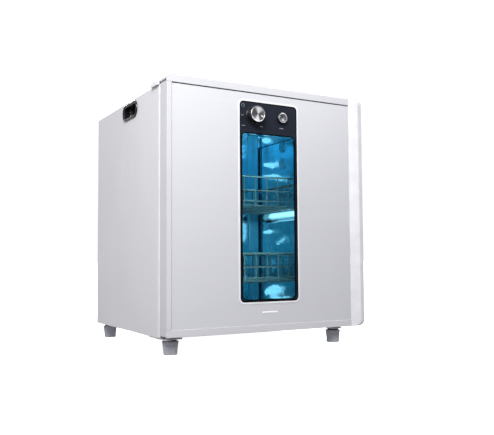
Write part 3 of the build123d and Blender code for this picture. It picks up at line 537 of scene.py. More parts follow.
def add_basket(name, node):
    """U-shaped wires both ways, rings round them, and side rails on cross wires."""
    span = Span(node)
    left, right = span.low.x + RAIL_REACH + RIM_WIRE, span.high.x - RAIL_REACH - RIM_WIRE
    front, back = span.low.y + RIM_WIRE, span.high.y - RIM_WIRE
    rim, floor = span.high.z - RIM_WIRE, span.low.z + WIRE
    deck = floor + 2 * WIRE
    middle = span.mid
    bm = bmesh.new()
    inner = RIM_WIRE + WIRE
    near, far = front + inner, back - inner
    for k in range(CROSS_WIRES):
        x = middle.x + (k - (CROSS_WIRES - 1) / 2) * WIRE_PITCH
        corners = [(near, rim), (near, floor), (far, floor), (far, rim)]
        add_tube(bm, rounded_path([Vector((x, y, z)) for y, z in corners], WIRE_BEND), WIRE)
    for k in range(LONG_WIRES):
        y = middle.y + (k - (LONG_WIRES - 1) / 2) * WIRE_PITCH
        low_x, high_x = left + inner, right - inner
        corners = [(low_x, rim), (low_x, deck), (high_x, deck), (high_x, rim)]
        add_tube(bm, rounded_path([Vector((x, y, z)) for x, z in corners], WIRE_BEND), WIRE)
    rings = (
        (rim, RIM_WIRE, 0), (rim - MID_DROP, WIRE, RING_INSET),
        (floor + LOW_RING_RISE, WIRE, RING_INSET),
    )
    for height, radius, inset in rings:
        shape = outline(right - left - 2 * inset, back - front - 2 * inset, RING_CORNER)
        loop = [Vector((middle.x + u, middle.y + v, height)) for u, v in shape]
        add_tube(bm, loop, radius, sides=10, closed=True)
    for side in (-1, 1):
        rail = middle.x + side * (span.size.x / 2 - RIM_WIRE)
        rim_x = left if side < 0 else right
        ends = [
            (rim_x, front + RAIL_FOOT), (rail, front + RAIL_SHOULDER),
            (rail, back - RAIL_SHOULDER), (rim_x, back - RAIL_FOOT),
        ]
        path = rounded_path([Vector((x, y, rim)) for x, y in ends], RAIL_BEND)
        add_tube(bm, path, RIM_WIRE, sides=10)
        for k in range(RAIL_WIRES):
            y = middle.y + (k - (RAIL_WIRES - 1) / 2) * 2 * WIRE_PITCH
            add_tube(bm, [Vector((rim_x, y, rim)), Vector((rail, y, rim))], WIRE)
    return piece(name, bm, node, "basket_wire", [node])


for node in ("upper_basket", "lower_basket"):
    add_basket(f"{node}_wirework", node)


# ---- timer knob and start button ----
FRONT = -BACK
knob = Span("timer_knob")
cap = Span("knob_cap")
knob_centre = Vector((knob.mid.x, knob.high.y, knob.mid.z))
knob_radius = knob.size.x / 2
knob_depth = knob.high.y - cap.low.y
cap_radius = knob_radius - 1.3 * MM
face_rise = knob_depth - 0.5 * MM
face_radius = cap_radius - 1.7 * MM
TURNED_SEGMENTS = 72

bm = bmesh.new()
profile = [
    (0.6 * knob_radius, 0.1 * MM), (knob_radius + 1.2 * MM, 0.1 * MM),
    (knob_radius + 1.2 * MM, 1.4 * MM), (knob_radius + 0.5 * MM, 2.2 * MM),
    (knob_radius, 2.6 * MM), (knob_radius - 0.2 * MM, knob_depth - 2.2 * MM),
    (knob_radius - 0.5 * MM, knob_depth - 1.2 * MM), (cap_radius, knob_depth - 1.0 * MM),
    (cap_radius - 1 * MM, knob_depth - 2.4 * MM), (0, knob_depth - 2.4 * MM),
]
add_lathe(bm, profile, Vector(), FRONT, TURNED_SEGMENTS)
piece("timer_knob_skirt", bm, "knob", "knob_black", ["timer_knob"], knob_centre)

bm = bmesh.new()
profile = [
    (cap_radius - 0.2 * MM, knob_depth - 2.6 * MM), (cap_radius + 0.1 * MM, knob_depth - 1.0 * MM),
    (cap_radius - 0.1 * MM, knob_depth - 0.25 * MM), (cap_radius - 0.6 * MM, knob_depth),
    (cap_radius - 1.3 * MM, knob_depth - 0.1 * MM), (face_radius, face_rise),
]
add_lathe(bm, profile, Vector(), FRONT, TURNED_SEGMENTS)
piece("timer_knob_bezel", bm, "knob", "brushed_metal", (), knob_centre)

bm = bmesh.new()
profile = [
    (face_radius, face_rise), (0.5 * cap_radius, face_rise - 0.12 * MM), (0, face_rise - 0.18 * MM),
]
add_lathe(bm, profile, Vector(), FRONT, TURNED_SEGMENTS)
piece("timer_knob_face", bm, "knob", "brushed_metal", ["knob_cap"], knob_centre, finish=knob_face)

POINTER_ANGLE = math.radians(-22)
POINTER_LENGTH, POINTER_WIDTH = 4.6 * MM, 1.5 * MM
bm = bmesh.new()
radial = RIGHT * math.cos(POINTER_ANGLE) + UP * math.sin(POINTER_ANGLE)
moulded(
    bm, POINTER_LENGTH, POINTER_WIDTH, 0.7 * MM, [(0, 0), (0, 0.25 * MM), (0.15 * MM, 0.35 * MM)],
    radial, radial.cross(FRONT), FRONT,
    radial * (cap_radius - 5.2 * MM) + FRONT * (face_rise - 0.15 * MM),
)
piece("timer_pointer", bm, "knob", "brushed_metal", (), knob_centre, finish=mark_white)

ring = Span("button_ring")
button = Span("start_button")
button_base = Vector((ring.mid.x, ring.high.y, ring.mid.z))
ring_radius = ring.size.x / 2
ring_rise = ring.high.y - ring.low.y
shoulder_rise = ring_rise - 0.8 * MM
hole = button.size.x / 2 + 0.25 * MM
BUTTON_SEGMENTS = 56
bm = bmesh.new()
profile = [
    (ring_radius, 0.3 * MM), (ring_radius, ring_rise - 1.2 * MM),
    (ring_radius - 0.5 * MM, shoulder_rise), (hole, shoulder_rise), (hole, 0.5 * MM),
]
add_lathe(bm, profile, Vector(), FRONT, BUTTON_SEGMENTS)
piece(
    "start_button_sleeve", bm, "door", "brushed_metal", ["button_ring"], button_base,
    finish=finishes["knob_black"],
)

bm = bmesh.new()
profile = [
    (ring_radius - 0.5 * MM, shoulder_rise), (ring_radius - 0.6 * MM, ring_rise - 0.2 * MM),
    (ring_radius - 1.2 * MM, ring_rise), (hole + 0.4 * MM, ring_rise - 0.2 * MM),
    (hole, shoulder_rise),
]
add_lathe(bm, profile, Vector(), FRONT, BUTTON_SEGMENTS)
piece("start_button_bezel", bm, "door", "brushed_metal", (), button_base)

bm = bmesh.new()
rise = button.high.y - button.low.y
radius = button.size.x / 2
button_back = Vector((button.mid.x, button.high.y, button.mid.z))
profile = [
    (0, 0), (radius, 0), (radius, rise - 0.9 * MM), (radius - 0.3 * MM, rise - 0.3 * MM),
    (radius - 0.9 * MM, rise), (radius - 1.8 * MM, rise - 0.1 * MM),
    (2.5 * MM, rise - 0.5 * MM), (0, rise - 0.6 * MM),
]
add_lathe(bm, profile, Vector(), FRONT, BUTTON_SEGMENTS)
piece("start_button_cap", bm, "button", "button_dark", ["start_button"], button_back)


# ---- control strip: printed borders and plain marks ----
fascia = Span("control_fascia")
window = Span("window_glass")
PRINT = 0.06 * MM
STRIP_CORNER = 8 * MM
STRIP_BORDER, WINDOW_BORDER = 2.6 * MM, 2.2 * MM


def add_border(name, span, grow, width, corner):
    """A flat printed line round a box, on the control strip's face."""
    bm = bmesh.new()
    origin = Vector((span.mid.x, fascia.low.y, span.mid.z))
    profile = [(0, 0), (0, PRINT), (width, PRINT), (width, 0)]
    outer_x, outer_z = span.size.x + 2 * grow, span.size.z + 2 * grow
    moulded(bm, outer_x, outer_z, corner + grow, profile, RIGHT, UP, FRONT, origin, cap=False)
    piece(name, bm, "door", "fascia_black", finish=print_and_painted_shadow_black)


add_border("strip_border", fascia, -0.02 * MM, STRIP_BORDER, STRIP_CORNER)
add_border("window_border", window, WINDOW_BORDER, WINDOW_BORDER, STRIP_CORNER)


def add_mark(bm, centre, width, height, turn=0.0):
    """A short printed dash."""
    across = RIGHT * math.cos(turn) + UP * math.sin(turn)
    up = UP * math.cos(turn) - RIGHT * math.sin(turn)
    profile = [(0, 0), (0, PRINT)]
    moulded(bm, width, height, height / 2, profile, across, up, FRONT, centre)


# Dashes by the knob and the button, as (middle, across and up from it in mm, length, height, turn).
DASHES = (
    (knob.mid, -23, -1, 5.5, 1.0, 0.1), (knob.mid, -21, -20, 7.5, 1.1, 0.0),
    (knob.mid, 17, -19, 6.5, 1.1, 0.0), (button.mid, 0, -19, 9, 1.1, 0.0),
)
bm = bmesh.new()
for centre, across, up, length, height, turn in DASHES:
    place = Vector((centre.x + across * MM, fascia.low.y, centre.z + up * MM))
    add_mark(bm, place, length * MM, height * MM, turn)

# A clock: a circle and two hands.
DIAL_RADIUS, DIAL_LINE, HAND_LINE = 3.2 * MM, 0.28 * MM, 0.25 * MM
dial = Vector((knob.mid.x - 22 * MM, fascia.low.y - PRINT, knob.mid.z + 17.5 * MM))
turns = [math.tau * k / 32 for k in range(32)]
circle = [dial + (RIGHT * math.cos(a) + UP * math.sin(a)) * DIAL_RADIUS for a in turns]
add_tube(bm, circle, DIAL_LINE, 6, closed=True)
add_tube(bm, [dial + UP * 1.6 * MM, dial, dial + RIGHT * 1.4 * MM], HAND_LINE, 6)
piece("control_marks", bm, "door", "fascia_black", finish=print_grey)

bm = bmesh.new()
panel = Span("door_front_panel")
EMBLEM_WIDTH, EMBLEM_HEIGHT, EMBLEM_DROP = 33 * MM, 2.6 * MM, 19 * MM
emblem_centre = Vector((fascia.mid.x, panel.low.y, fascia.low.z - EMBLEM_DROP))
profile = [(0, 0), (0, 0.35 * MM), (0.3 * MM, 0.6 * MM)]
moulded(
    bm, EMBLEM_WIDTH, EMBLEM_HEIGHT, EMBLEM_HEIGHT / 2, profile, RIGHT, UP, FRONT, emblem_centre
)
piece("plain_emblem_bar", bm, "door", "brushed_metal", finish=emblem_metal)

# A black strip where the sheet tucks in under the top rail: a painted shadow line.
bm = bmesh.new()
top_rail = Span("door_top_rail")
TOP_SHADOW_RADIUS = 0.6 * MM
top_shadow_y = panel.low.y - 0.5 * MM
top_shadow_z = top_rail.low.z - 0.45 * MM
top_shadow_end = Span("door_handle").low.x + 18 * MM
top_shadow_line = [Vector((x, top_shadow_y, top_shadow_z)) for x in (panel.low.x, top_shadow_end)]
add_tube(bm, top_shadow_line, TOP_SHADOW_RADIUS, 8)
piece("panel_top_painted_shadow", bm, "door", "gasket_rubber", finish=print_and_painted_shadow_black)


# ---- carry handles ----
handles = Span("carry_handles")
LIP_CORNER = 15 * MM
lip_width, lip_height = handles.size.y, handles.size.z
cup_depth = 17 * MM
lip_rise = 3 * MM
left_face = handles.low.x + lip_rise
right_face = handles.high.x - lip_rise
# Down the lip and into the cup, as (in from the edge, out from the panel).
lip_profile = [
    (0.3 * MM, 0.0), (0.0, 0.9 * MM), (0.4 * MM, 2.0 * MM), (1.4 * MM, 2.8 * MM),
    (2.4 * MM, 2.95 * MM), (3.2 * MM, 2.5 * MM), (3.7 * MM, 1.6 * MM), (4.3 * MM, 1.3 * MM),
    (4.9 * MM, 1.5 * MM), (5.4 * MM, 1.0 * MM), (5.8 * MM, -1.0 * MM),
    (6.6 * MM, -0.8 * cup_depth), (8.0 * MM, -0.92 * cup_depth),
]
for side, face_x, out in (("left", left_face, -RIGHT), ("right", right_face, RIGHT)):
    bm = bmesh.new()
    origin = Vector((face_x, handles.mid.y, handles.mid.z))
    moulded(bm, lip_width, lip_height, LIP_CORNER, lip_profile, BACK, UP, out, origin)
    name = f"{side}_carry_handle"
    made = piece(name, bm, "root", "black_plastic", ["carry_handles"], finish=gloss_black)
    subdivide = made.modifiers.new("smooth", "SUBSURF")
    subdivide.levels = 1
    subdivide.render_levels = 1


# ---- feet ----
feet = Span("feet")
# Radii of the foot's collar and of its tread.
foot_top, foot_bottom = 14.5 * MM, 12.2 * MM
foot_height = feet.size.z
front_feet_y, rear_feet_y = feet.low.y + foot_top, feet.high.y - foot_top
left_feet_x, right_feet_x = feet.low.x + foot_top, feet.high.x - foot_top
foot_profile = [
    (0, 1.2 * MM), (5 * MM, 1.2 * MM), (5.6 * MM, 0.2 * MM), (foot_bottom - 1.2 * MM, 0.0),
    (foot_bottom - 0.2 * MM, 0.5 * MM), (foot_bottom, 1.6 * MM), (foot_bottom + 0.1 * MM, 2.6 * MM),
    (foot_bottom - 0.1 * MM, 3.0 * MM), (foot_top - 0.6 * MM, foot_height - 3.4 * MM),
    (foot_top, foot_height - 3.0 * MM), (foot_top, foot_height - 1.2 * MM),
    (foot_top - 0.8 * MM, foot_height - 0.2 * MM), (foot_top - 1.6 * MM, foot_height),
    (0, foot_height),
]
for row, y in (("front", front_feet_y), ("rear", rear_feet_y)):
    for side, x in (("left", left_feet_x), ("right", right_feet_x)):
        bm = bmesh.new()
        add_lathe(bm, foot_profile, Vector(), UP, 48)
        place = Vector((x, y, feet.low.z))
        name = f"{row}_{side}_foot"
        piece(name, bm, "root", "grey_rubber", ["feet"], place)


# ---- screws ----
def islands(name):
    """The boxes of a CAD node's separate solids."""
    bm = bmesh.new()
    bm.from_mesh(nodes[name].data)
    bmesh.ops.remove_doubles(bm, verts=bm.verts, dist=0.01 * MM)
    left_over = set(bm.verts)
    boxes = []
    while left_over:
        seed = left_over.pop()
        group, queue = [seed.co.copy()], [seed]
        while queue:
            for edge in queue.pop().link_edges:
                for other in edge.verts:
                    if other in left_over:
                        left_over.remove(other)
                        group.append(other.co.copy())
                        queue.append(other)
        low = Vector([min(p[i] for p in group) for i in range(3)])
        high = Vector([max(p[i] for p in group) for i in range(3)])
        boxes.append((low, high))
    bm.free()
    return sorted(boxes, key=lambda box: tuple(round(c, 4) for c in box[0]))


BACK_HEAD_RISE, LINER_HEAD_RISE, WALL_HEAD_RISE = 2 * MM, 1.0 * MM, 1.6 * MM
bm = bmesh.new()
back_face = Span("back_panel").high.y
for low, high in islands("back_panel_screws"):
    mid = (low + high) / 2
    head = Vector((mid.x, back_face, mid.z))
    add_screw_head(bm, head, BACK, (high.x - low.x) / 2, BACK_HEAD_RISE)
piece("back_screw_heads", bm, "root", "zinc_steel", ["back_panel_screws"])

bm = bmesh.new()
wall_left, wall_right = Span("chamber_left_wall").high.x, Span("chamber_right_wall").low.x
for low, high in islands("liner_screws"):
    mid, size = (low + high) / 2, high - low
    if abs(size.x - size.z) < 0.3 * MM:
        head = Vector((mid.x, low.y + 0.9 * MM, mid.z))
        add_screw_head(bm, head, FRONT, size.x / 2, LINER_HEAD_RISE)
    else:
        inward = RIGHT if mid.x < 0 else -RIGHT
        wall = wall_left if mid.x < 0 else wall_right
        add_screw_head(bm, Vector((wall, mid.y, mid.z)), inward, size.y / 2, WALL_HEAD_RISE)
piece("liner_screw_heads", bm, "root", "zinc_steel", ["liner_screws"])


# ---- door seal ----
gasket = Span("door_gasket")
bm = bmesh.new()
depth = gasket.size.y
SEAL_CORNER = 10 * MM
seal_profile = [
    (0, 0.1 * MM), (0.2 * MM, 0.8 * MM), (1.0 * MM, 1.0 * MM), (1.4 * MM, 1.7 * MM),
    (2.6 * MM, depth - 0.2 * MM), (4.4 * MM, depth), (6.0 * MM, depth - 0.4 * MM),
    (7.0 * MM, 1.5 * MM), (7.4 * MM, 1.0 * MM), (8.6 * MM, 0.9 * MM), (9.0 * MM, 0.1 * MM),
]
origin = Vector((gasket.mid.x, gasket.low.y, gasket.mid.z))
moulded(
    bm, gasket.size.x, gasket.size.z, SEAL_CORNER, seal_profile, RIGHT, UP, BACK, origin,
    cap=False, closed=True,
)
piece("door_seal", bm, "door", "gasket_rubber", ["door_gasket"], sharp=50)


# ---- lamp ----
lamp = Span("uv_lamp_tube")
tube_radius, tube_half = lamp.size.x / 2, lamp.size.y / 2
bm = bmesh.new()
profile = [(0, -tube_half), (tube_radius, -tube_half), (tube_radius, tube_half), (0, tube_half)]
add_lathe(bm, profile, Vector(), BACK, 32)
piece("lamp_tube", bm, "root", "lamp_glass", ["uv_lamp_tube"], lamp.mid)

bm = bmesh.new()
cap_length, cap_inset = 8 * MM, 0.4 * MM
pin_length, pin_radius, pin_offset = 5.6 * MM, 1.0 * MM, 2.4 * MM
for end in (-1, 1):
    start = lamp.mid + BACK * (end * tube_half)
    shell = [
        (tube_radius + 0.2 * MM, 0), (tube_radius + 0.2 * MM, cap_length - 1.5 * MM),
        (tube_radius - 0.8 * MM, cap_length), (3 * MM, cap_length),
        (2.6 * MM, cap_length - cap_inset), (0, cap_length - cap_inset),
    ]
    add_lathe(bm, shell, start, BACK * end, 32)
    for rise in (-pin_offset, pin_offset):
        foot = start + UP * rise + BACK * (end * (cap_length - cap_inset))
        add_tube(bm, [foot, foot + BACK * (end * pin_length)], pin_radius, 10)
piece("lamp_metal_caps", bm, "root", "zinc_steel", ["lamp_end_caps"])

tray = Span("lamp_reflector")
bm = bmesh.new()
origin = Vector((tray.high.x, tray.mid.y, tray.mid.z))
depth = tray.size.x
tray_profile = [
    (0, 0), (0, depth - 0.8 * MM), (0.5 * MM, depth), (1.3 * MM, depth),
    (1.9 * MM, depth - 0.8 * MM), (3.4 * MM, 1.7 * MM), (5.2 * MM, 1.2 * MM), (7.5 * MM, 1.1 * MM),
]
moulded(bm, tray.size.y, tray.size.z, tray.size.z / 2, tray_profile, BACK, UP, -RIGHT, origin)
piece("lamp_tray", bm, "root", "stainless", ["lamp_reflector"])


# ---- dark beads as painted shadow lines in the chamber's corners and under its ceiling strips ----
posts, strips = Span("corner_posts"), Span("ceiling_edge_strips")
CORNER_SHADOW, CORNER_SHADOW_HALF_WIDTH, CORNER_SHADOW_FLAT = 0.9 * MM, 0.7 * MM, 0.5 * MM
bm = bmesh.new()
corner_shadow_y = posts.low.y + 1.5 * MM
strip_shadow_z = strips.low.z - 0.3 * MM
shape = [
    (-CORNER_SHADOW_HALF_WIDTH, 0), (-CORNER_SHADOW_FLAT, -CORNER_SHADOW), (CORNER_SHADOW_FLAT, -CORNER_SHADOW), (CORNER_SHADOW_HALF_WIDTH, 0), (0, CORNER_SHADOW),
]
for side, x in ((1, wall_left), (-1, wall_right)):
    corner = x + side * 0.8 * MM
    ends = [Vector((corner, corner_shadow_y, z)) for z in (posts.low.z, posts.high.z)]
    add_loft(bm, [[end + RIGHT * u + BACK * v for u, v in shape] for end in ends])
    edge = x + side * 1.0 * MM
    run = [Vector((edge, y, strip_shadow_z)) for y in (strips.low.y, strips.high.y - 1 * MM)]
    add_tube(bm, run, CORNER_SHADOW, 8)
# These black beads are painted shadow.
piece("chamber_painted_shadow_beads", bm, "root", "gasket_rubber", finish=print_and_painted_shadow_black)


# ---- fan rotor ----
rotor = Span("fan_impeller")
hub_radius, tip_radius = 18 * MM, 40.5 * MM
hub_half = rotor.size.y / 2
BLADES, BLADE_STATIONS, BLADE_STEPS = 7, 7, 6
ROOT_PITCH, PITCH_DROP = 46, 16
ROOT_CHORD, CHORD_GAIN = 15 * MM, 4 * MM
BLADE_SWEEP, BLADE_CAMBER, BLADE_HALF_THICKNESS = 0.25, 1.6 * MM, 0.75 * MM
bm = bmesh.new()
profile = [
    (0, -hub_half), (hub_radius - 2.5 * MM, -hub_half),
    (hub_radius - 0.8 * MM, -hub_half + 0.7 * MM), (hub_radius, -hub_half + 2.5 * MM),
    (hub_radius, hub_half), (0, hub_half),
]
add_lathe(bm, profile, Vector(), BACK, 48)
root_radius = hub_radius - 1 * MM
axial_limit = hub_half - 0.3 * MM
for blade in range(BLADES):
    turn = Matrix.Rotation(math.tau * blade / BLADES, 3, "Y")
    loops = []
    for station in range(BLADE_STATIONS):
        share = station / (BLADE_STATIONS - 1)
        radius = root_radius + share * (tip_radius - root_radius)
        pitch = math.radians(ROOT_PITCH - PITCH_DROP * share)
        chord = ROOT_CHORD + CHORD_GAIN * share
        sweep = BLADE_SWEEP * share ** 2
        upper, lower = [], []
        for step in range(BLADE_STEPS + 1):
            t = step / BLADE_STEPS - 0.5
            camber = BLADE_CAMBER * (1 - 4 * t * t)
            thick = BLADE_HALF_THICKNESS * math.sqrt(max(0.04, 1 - (2 * t) ** 2))
            for lift, side in ((camber + thick, upper), (camber - thick, lower)):
                along = chord * t * math.cos(pitch) - lift * math.sin(pitch)
                axial = chord * t * math.sin(pitch) + lift * math.cos(pitch)
                axial = max(-axial_limit, min(axial_limit, axial * 0.8))
                bend = along / radius + sweep
                point = Vector((radius * math.sin(bend), axial, radius * math.cos(bend)))
                side.append(turn @ point)
        loops.append(upper + lower[::-1])
    add_loft(bm, loops)
piece("fan_rotor", bm, "impeller", "black_plastic", ["fan_impeller"], rotor.mid)


# ---- end caps of the pull ----
caps_span = Span("handle_end_caps")
rail_low, rail_high = Span("door_bottom_rail"), Span("door_top_rail")
cap_inner = caps_span.low.x
door_front_y, door_back_y = rail_low.low.y, rail_low.high.y
hook_x, hook_y = caps_span.high.x, caps_span.low.y
SLANT_REACH, HOOK_DEPTH = 14.5 * MM, 13 * MM
slant_x = cap_inner + SLANT_REACH
hook_back = door_front_y + HOOK_DEPTH
OUTER_CORNER, FACE_CORNER = 12 * MM, 10 * MM
NOSE_WIDTH, FACET_DROP, CAP_BEND = 3 * MM, 3.7 * MM, 1.6 * MM
CAP_BEND_STEPS = 4
FACET_TURN = math.atan2(FACET_DROP, hook_x - slant_x - NOSE_WIDTH)


def pull_in(height, radius):
    """How far a round corner of this radius stands in from the edge at a height above the end."""
    drop = max(0.0, radius - height)
    return radius - math.sqrt(max(0.0, radius * radius - drop * drop))


def cap_section(height):
    """The cap's outline, seen from above, at a height in from its rounded end."""
    outer = hook_x - pull_in(height, OUTER_CORNER)
    ridge = slant_x - pull_in(height, FACE_CORNER) * 0.9
    share = (ridge - cap_inner) / (slant_x - cap_inner)
    ridge_y = door_front_y + (hook_y - door_front_y) * share
    front_y = ridge_y + 0.05 * MM
    points = [(cap_inner, door_front_y), ((cap_inner + ridge) / 2, (door_front_y + ridge_y) / 2)]
    points += [(ridge - 0.5 * MM, ridge_y + 0.15 * MM), (ridge + 0.4 * MM, ridge_y)]
    points.append((ridge + NOSE_WIDTH, front_y))
    tangent = CAP_BEND * math.tan((math.pi / 2 - FACET_TURN) / 2)
    for step in range(CAP_BEND_STEPS + 1):
        a = FACET_TURN + (math.pi / 2 - FACET_TURN) * step / CAP_BEND_STEPS
        bend_y = front_y + FACET_DROP + tangent - CAP_BEND * math.cos(a)
        points.append((outer - CAP_BEND + CAP_BEND * math.sin(a), bend_y))
    points += [(outer, hook_back - 1 * MM), (outer - 0.6 * MM, hook_back)]
    points += [(min(outer - 1 * MM, cap_inner + 3 * MM), door_back_y), (cap_inner, door_back_y)]
    return points


# Heights of the sections in from the rounded end, closer together where it curves most.
CAP_HEIGHTS = [h * MM for h in (0.0, 0.25, 0.7, 1.5, 2.6, 4.0, 6.0, 8.5, 11.0, 13.0)]
for label, end_z, direction in (("lower", rail_low.low.z, 1), ("upper", rail_high.high.z, -1)):
    bm = bmesh.new()
    loops = []
    for height in CAP_HEIGHTS:
        z = end_z + direction * height
        loops.append([Vector((x, y, z)) for x, y in cap_section(height)])
    add_loft(bm, loops)
    piece(f"{label}_handle_cap", bm, "door", "handle_white", ["handle_end_caps"], sharp=38)


# ---- cord gland ----
gland = Span("cord_gland")
bore, sleeve_radius, flange_radius = 4 * MM, 8 * MM, 11 * MM
gland_flange = gland.high.y - 6.5 * MM
bm = bmesh.new()
origin = Vector((gland.mid.x, 0, gland.mid.z))
profile = [
    (bore, gland.low.y), (sleeve_radius, gland.low.y), (sleeve_radius, gland_flange),
    (flange_radius, gland_flange), (flange_radius, gland_flange + 1.9 * MM),
    (10.4 * MM, gland_flange + 2.5 * MM), (8.2 * MM, gland_flange + 2.5 * MM),
]
# The ribbed nozzle, as (radius, height above the flange) in millimetres.
nozzle = [
    (7.5, 3.2), (7.0, 3.7), (7.5, 4.2), (7.0, 4.7), (7.4, 5.2), (6.6, 6.1), (5.4, 6.5), (4.4, 6.5),
]
profile += [(r * MM, gland_flange + h * MM) for r, h in nozzle]
profile += [(bore, gland.high.y - 0.4 * MM), (bore, gland.low.y)]
add_lathe(bm, profile, origin, BACK, 48)
piece("cord_gland_body", bm, "root", "black_plastic", ["cord_gland"], sharp=25)


# ---- studio ----
SURROUND, BELOW_FLOOR = 1.03, 0.55
HORIZON_LOW, HORIZON_HIGH = -0.04, -0.01
world = bpy.data.worlds.new("studio")
scene.world = world
world.use_nodes = True
tree = world.node_tree
background = tree.nodes["Background"]
background.inputs["Color"].default_value = (1, 1, 1, 1)

# The surround is white all round, and dimmer below the horizon.
direction = tree.nodes.new("ShaderNodeTexCoord")
sides = tree.nodes.new("ShaderNodeSeparateXYZ")
fall = tree.nodes.new("ShaderNodeMapRange")
fall.inputs["From Min"].default_value = HORIZON_LOW
fall.inputs["From Max"].default_value = HORIZON_HIGH
fall.inputs["To Min"].default_value = SURROUND * BELOW_FLOOR
fall.inputs["To Max"].default_value = SURROUND
tree.links.new(direction.outputs["Generated"], sides.inputs["Vector"])
tree.links.new(sides.outputs["Z"], fall.inputs["Value"])
tree.links.new(fall.outputs["Result"], background.inputs["Strength"])
scene.view_settings.view_transform = "Standard"

floor_finish = Finish("studio_floor", (0.95, 0.95, 0.96), 0.8)
floor_finish.tint(floor_finish.noise(2), 0.995, 1.005)
floor_finish.shader.inputs["Emission Color"].default_value = (1, 1, 1, 1)
floor_finish.shader.inputs["Emission Strength"].default_value = 0.8
FLOOR_RADIUS = 150
bm = bmesh.new()
bmesh.ops.create_circle(bm, cap_ends=True, segments=64, radius=FLOOR_RADIUS)
floor = mesh_object("studio_floor", bm, floor_finish.material)
floor.location.z = cad_low.z
floor.visible_diffuse = False
floor.visible_glossy = False


def area_light(name, place, target, size, energy, color=(1, 1, 1), shape="RECTANGLE"):
    """A soft light that the camera doesn't see."""
    data = bpy.data.lights.new(name, "AREA")
    data.shape = shape
    data.size, data.size_y = size
    data.energy = energy
    data.color = color
    made = bpy.data.objects.new(name, data)
    made.location = place
    made.rotation_mode = "QUATERNION"
    made.rotation_quaternion = (Vector(target) - Vector(place)).to_track_quat("-Z", "Y")
    made.visible_camera = False
    scene.collection.objects.link(made)
    return made


area_light("key", (-0.68, -0.95, 1.00), (-0.14, -0.19, 0.40), (0.5, 0.5), 25.5)
area_light("fill", (0.60, -0.95, 1.00), (0.10, -0.20, 0.30), (0.5, 0.5), 4.7)
area_light("back_fill", (0.35, 1.50, 1.20), (0.0, 0.20, 0.25), (0.6, 0.6), 26.0)

# ---- light inside the chamber ----
chamber_low = Vector((wall_left, Span("front_frame").low.y, Span("chamber_floor").high.z))
chamber_high = Vector((wall_right, Span("chamber_back_wall").low.y, Span("chamber_ceiling").low.z))
chamber_mid = (chamber_low + chamber_high) / 2
FRONT_BLUE = (0.03, 0.70, 1.0)
TOP_BLUE = (0.08, 0.60, 1.0)
PALE = (0.72, 0.96, 1.0)
WARM_WHITE = (1, 0.97, 0.94)
BACK_PATCH_RADIANCE, SIDE_PATCH_RADIANCE = 1.05, 0.9
GAP = 2 * MM


def glow(name, place, facing, size, radiance, color, turn=0.0, shape="ELLIPSE"):
    """A bright patch that only shows in the polished walls, not through the glass."""
    energy = radiance * math.pi * size[0] * size[1]
    made = area_light(name, place, Vector(place) + facing, size, energy, color, shape)
    made.rotation_quaternion = made.rotation_quaternion @ Quaternion((0, 0, 1), turn)
    made.visible_diffuse = False
    made.visible_transmission = False
    return made


def wash(name, place, target, size, energy, color):
    """A light that brightens what it falls on, and shows neither in walls nor through glass."""
    made = area_light(name, place, target, size, energy, color)
    made.visible_glossy = False
    made.visible_transmission = False
    return made


ceiling_light = (chamber_mid.x, chamber_mid.y - 0.02, chamber_high.z - 2 * GAP)
glow("ceiling_glow", ceiling_light, -UP, (0.30, 0.22), 1.15, TOP_BLUE, shape="RECTANGLE")
front_light = (chamber_mid.x, chamber_low.y + 3 * GAP, chamber_mid.z)
glow("front_glow", front_light, BACK, (0.30, 0.36), 0.42, FRONT_BLUE, shape="RECTANGLE")
lamp_light = (lamp.mid.x - 12 * MM, lamp.mid.y, lamp.mid.z)
lamp_target = (chamber_low.x, lamp.mid.y, lamp.mid.z)
wash("lamp_throw", lamp_light, lamp_target, (0.19, 0.012), 0.10, PALE)
window_light = (window.mid.x, chamber_low.y + 2 * GAP, window.mid.z)
window_target = (window.mid.x, chamber_high.y, window.mid.z)
wash("window_fill", window_light, window_target, (0.11, 0.30), 0.08, WARM_WHITE)

# Patches before the back wall, seen mirrored in the right wall:
# (in from the right wall, up from the floor, width, height, turn).
BACK_PATCHES = (
    (0.020, 0.392, 0.027, 0.014, 0.0), (0.034, 0.335, 0.053, 0.012, 0.1),
    (0.045, 0.305, 0.074, 0.012, -0.05), (0.024, 0.175, 0.035, 0.009, 0.1),
    (0.060, 0.154, 0.030, 0.010, 0.5), (0.033, 0.037, 0.048, 0.022, 0.15),
    (0.055, 0.020, 0.060, 0.010, -0.1),
)
for k, (inset, rise, width, height, turn) in enumerate(BACK_PATCHES):
    place = (chamber_high.x - inset, posts.low.y - GAP, chamber_low.z + rise)
    glow(f"back_patch_{k}", place, FRONT, (width, height), BACK_PATCH_RADIANCE, PALE, turn)

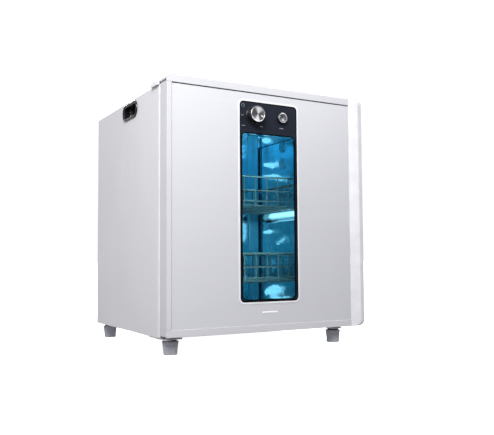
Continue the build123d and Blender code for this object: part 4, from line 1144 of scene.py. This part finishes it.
# Patches beside the right wall, seen mirrored in the back wall:
# (in from the back wall, up from the floor, width, height).
SIDE_PATCHES = (
    (0.069, 0.181, 0.023, 0.056), (0.069, 0.365, 0.023, 0.004), (0.069, 0.375, 0.023, 0.004),
    (0.069, 0.385, 0.023, 0.004),
)
for k, (inset, rise, width, height) in enumerate(SIDE_PATCHES):
    place = (chamber_high.x - GAP, chamber_high.y - inset, chamber_low.z + rise)
    glow(f"side_patch_{k}", place, -RIGHT, (width, height), SIDE_PATCH_RADIANCE, PALE)

# ---- dark cards ----
# The right card darkens reflections and shades the front's right; the left one only reflections.
CARD_TARGET = Vector((0, -0.19, 0.3))
card_finish = Finish("dark_card", (0.03, 0.03, 0.035), 0.9)
card_finish.tint(card_finish.noise(3), 0.9, 1.1)
for name, place, scale, shades in (
    ("dark_card_right", Vector((0.95, -1.55, 0.45)), (1.2, 1.4, 1), True),
    ("dark_card_left", Vector((-1.0, -1.85, 0.35)), (1.3, 1.5, 1), False),
):
    bm = bmesh.new()
    bmesh.ops.create_grid(bm, x_segments=2, y_segments=2, size=0.5)
    card = mesh_object(name, bm, card_finish.material)
    card.location = place
    card.scale = scale
    card.rotation_mode = "QUATERNION"
    card.rotation_quaternion = (CARD_TARGET - place).to_track_quat("Z", "Y")
    card.visible_camera = False
    card.visible_diffuse = shades
    card.visible_shadow = shades

# ---- camera ----
CAMERA_PLACE = Vector((-0.64596, -1.23388, 0.16065))
YAW, PITCH, ROLL = (math.radians(angle) for angle in (29.663, 3.7085, -0.3573))
LENS, SENSOR_WIDTH = 48.692, 36
level = math.cos(PITCH)
forward = Vector((math.sin(YAW) * level, math.cos(YAW) * level, math.sin(PITCH)))
level_right = forward.cross(UP).normalized()
level_up = level_right.cross(forward)
camera_right = level_right * math.cos(ROLL) + level_up * math.sin(ROLL)
camera_up = level_up * math.cos(ROLL) - level_right * math.sin(ROLL)
camera_data = bpy.data.cameras.new("camera")
camera_data.lens = LENS
camera_data.sensor_width = SENSOR_WIDTH
camera = bpy.data.objects.new("camera", camera_data)
axes = Matrix((camera_right, camera_up, -forward)).transposed()
camera.matrix_world = Matrix.Translation(CAMERA_PLACE) @ axes.to_4x4()
scene.collection.objects.link(camera)
scene.camera = camera
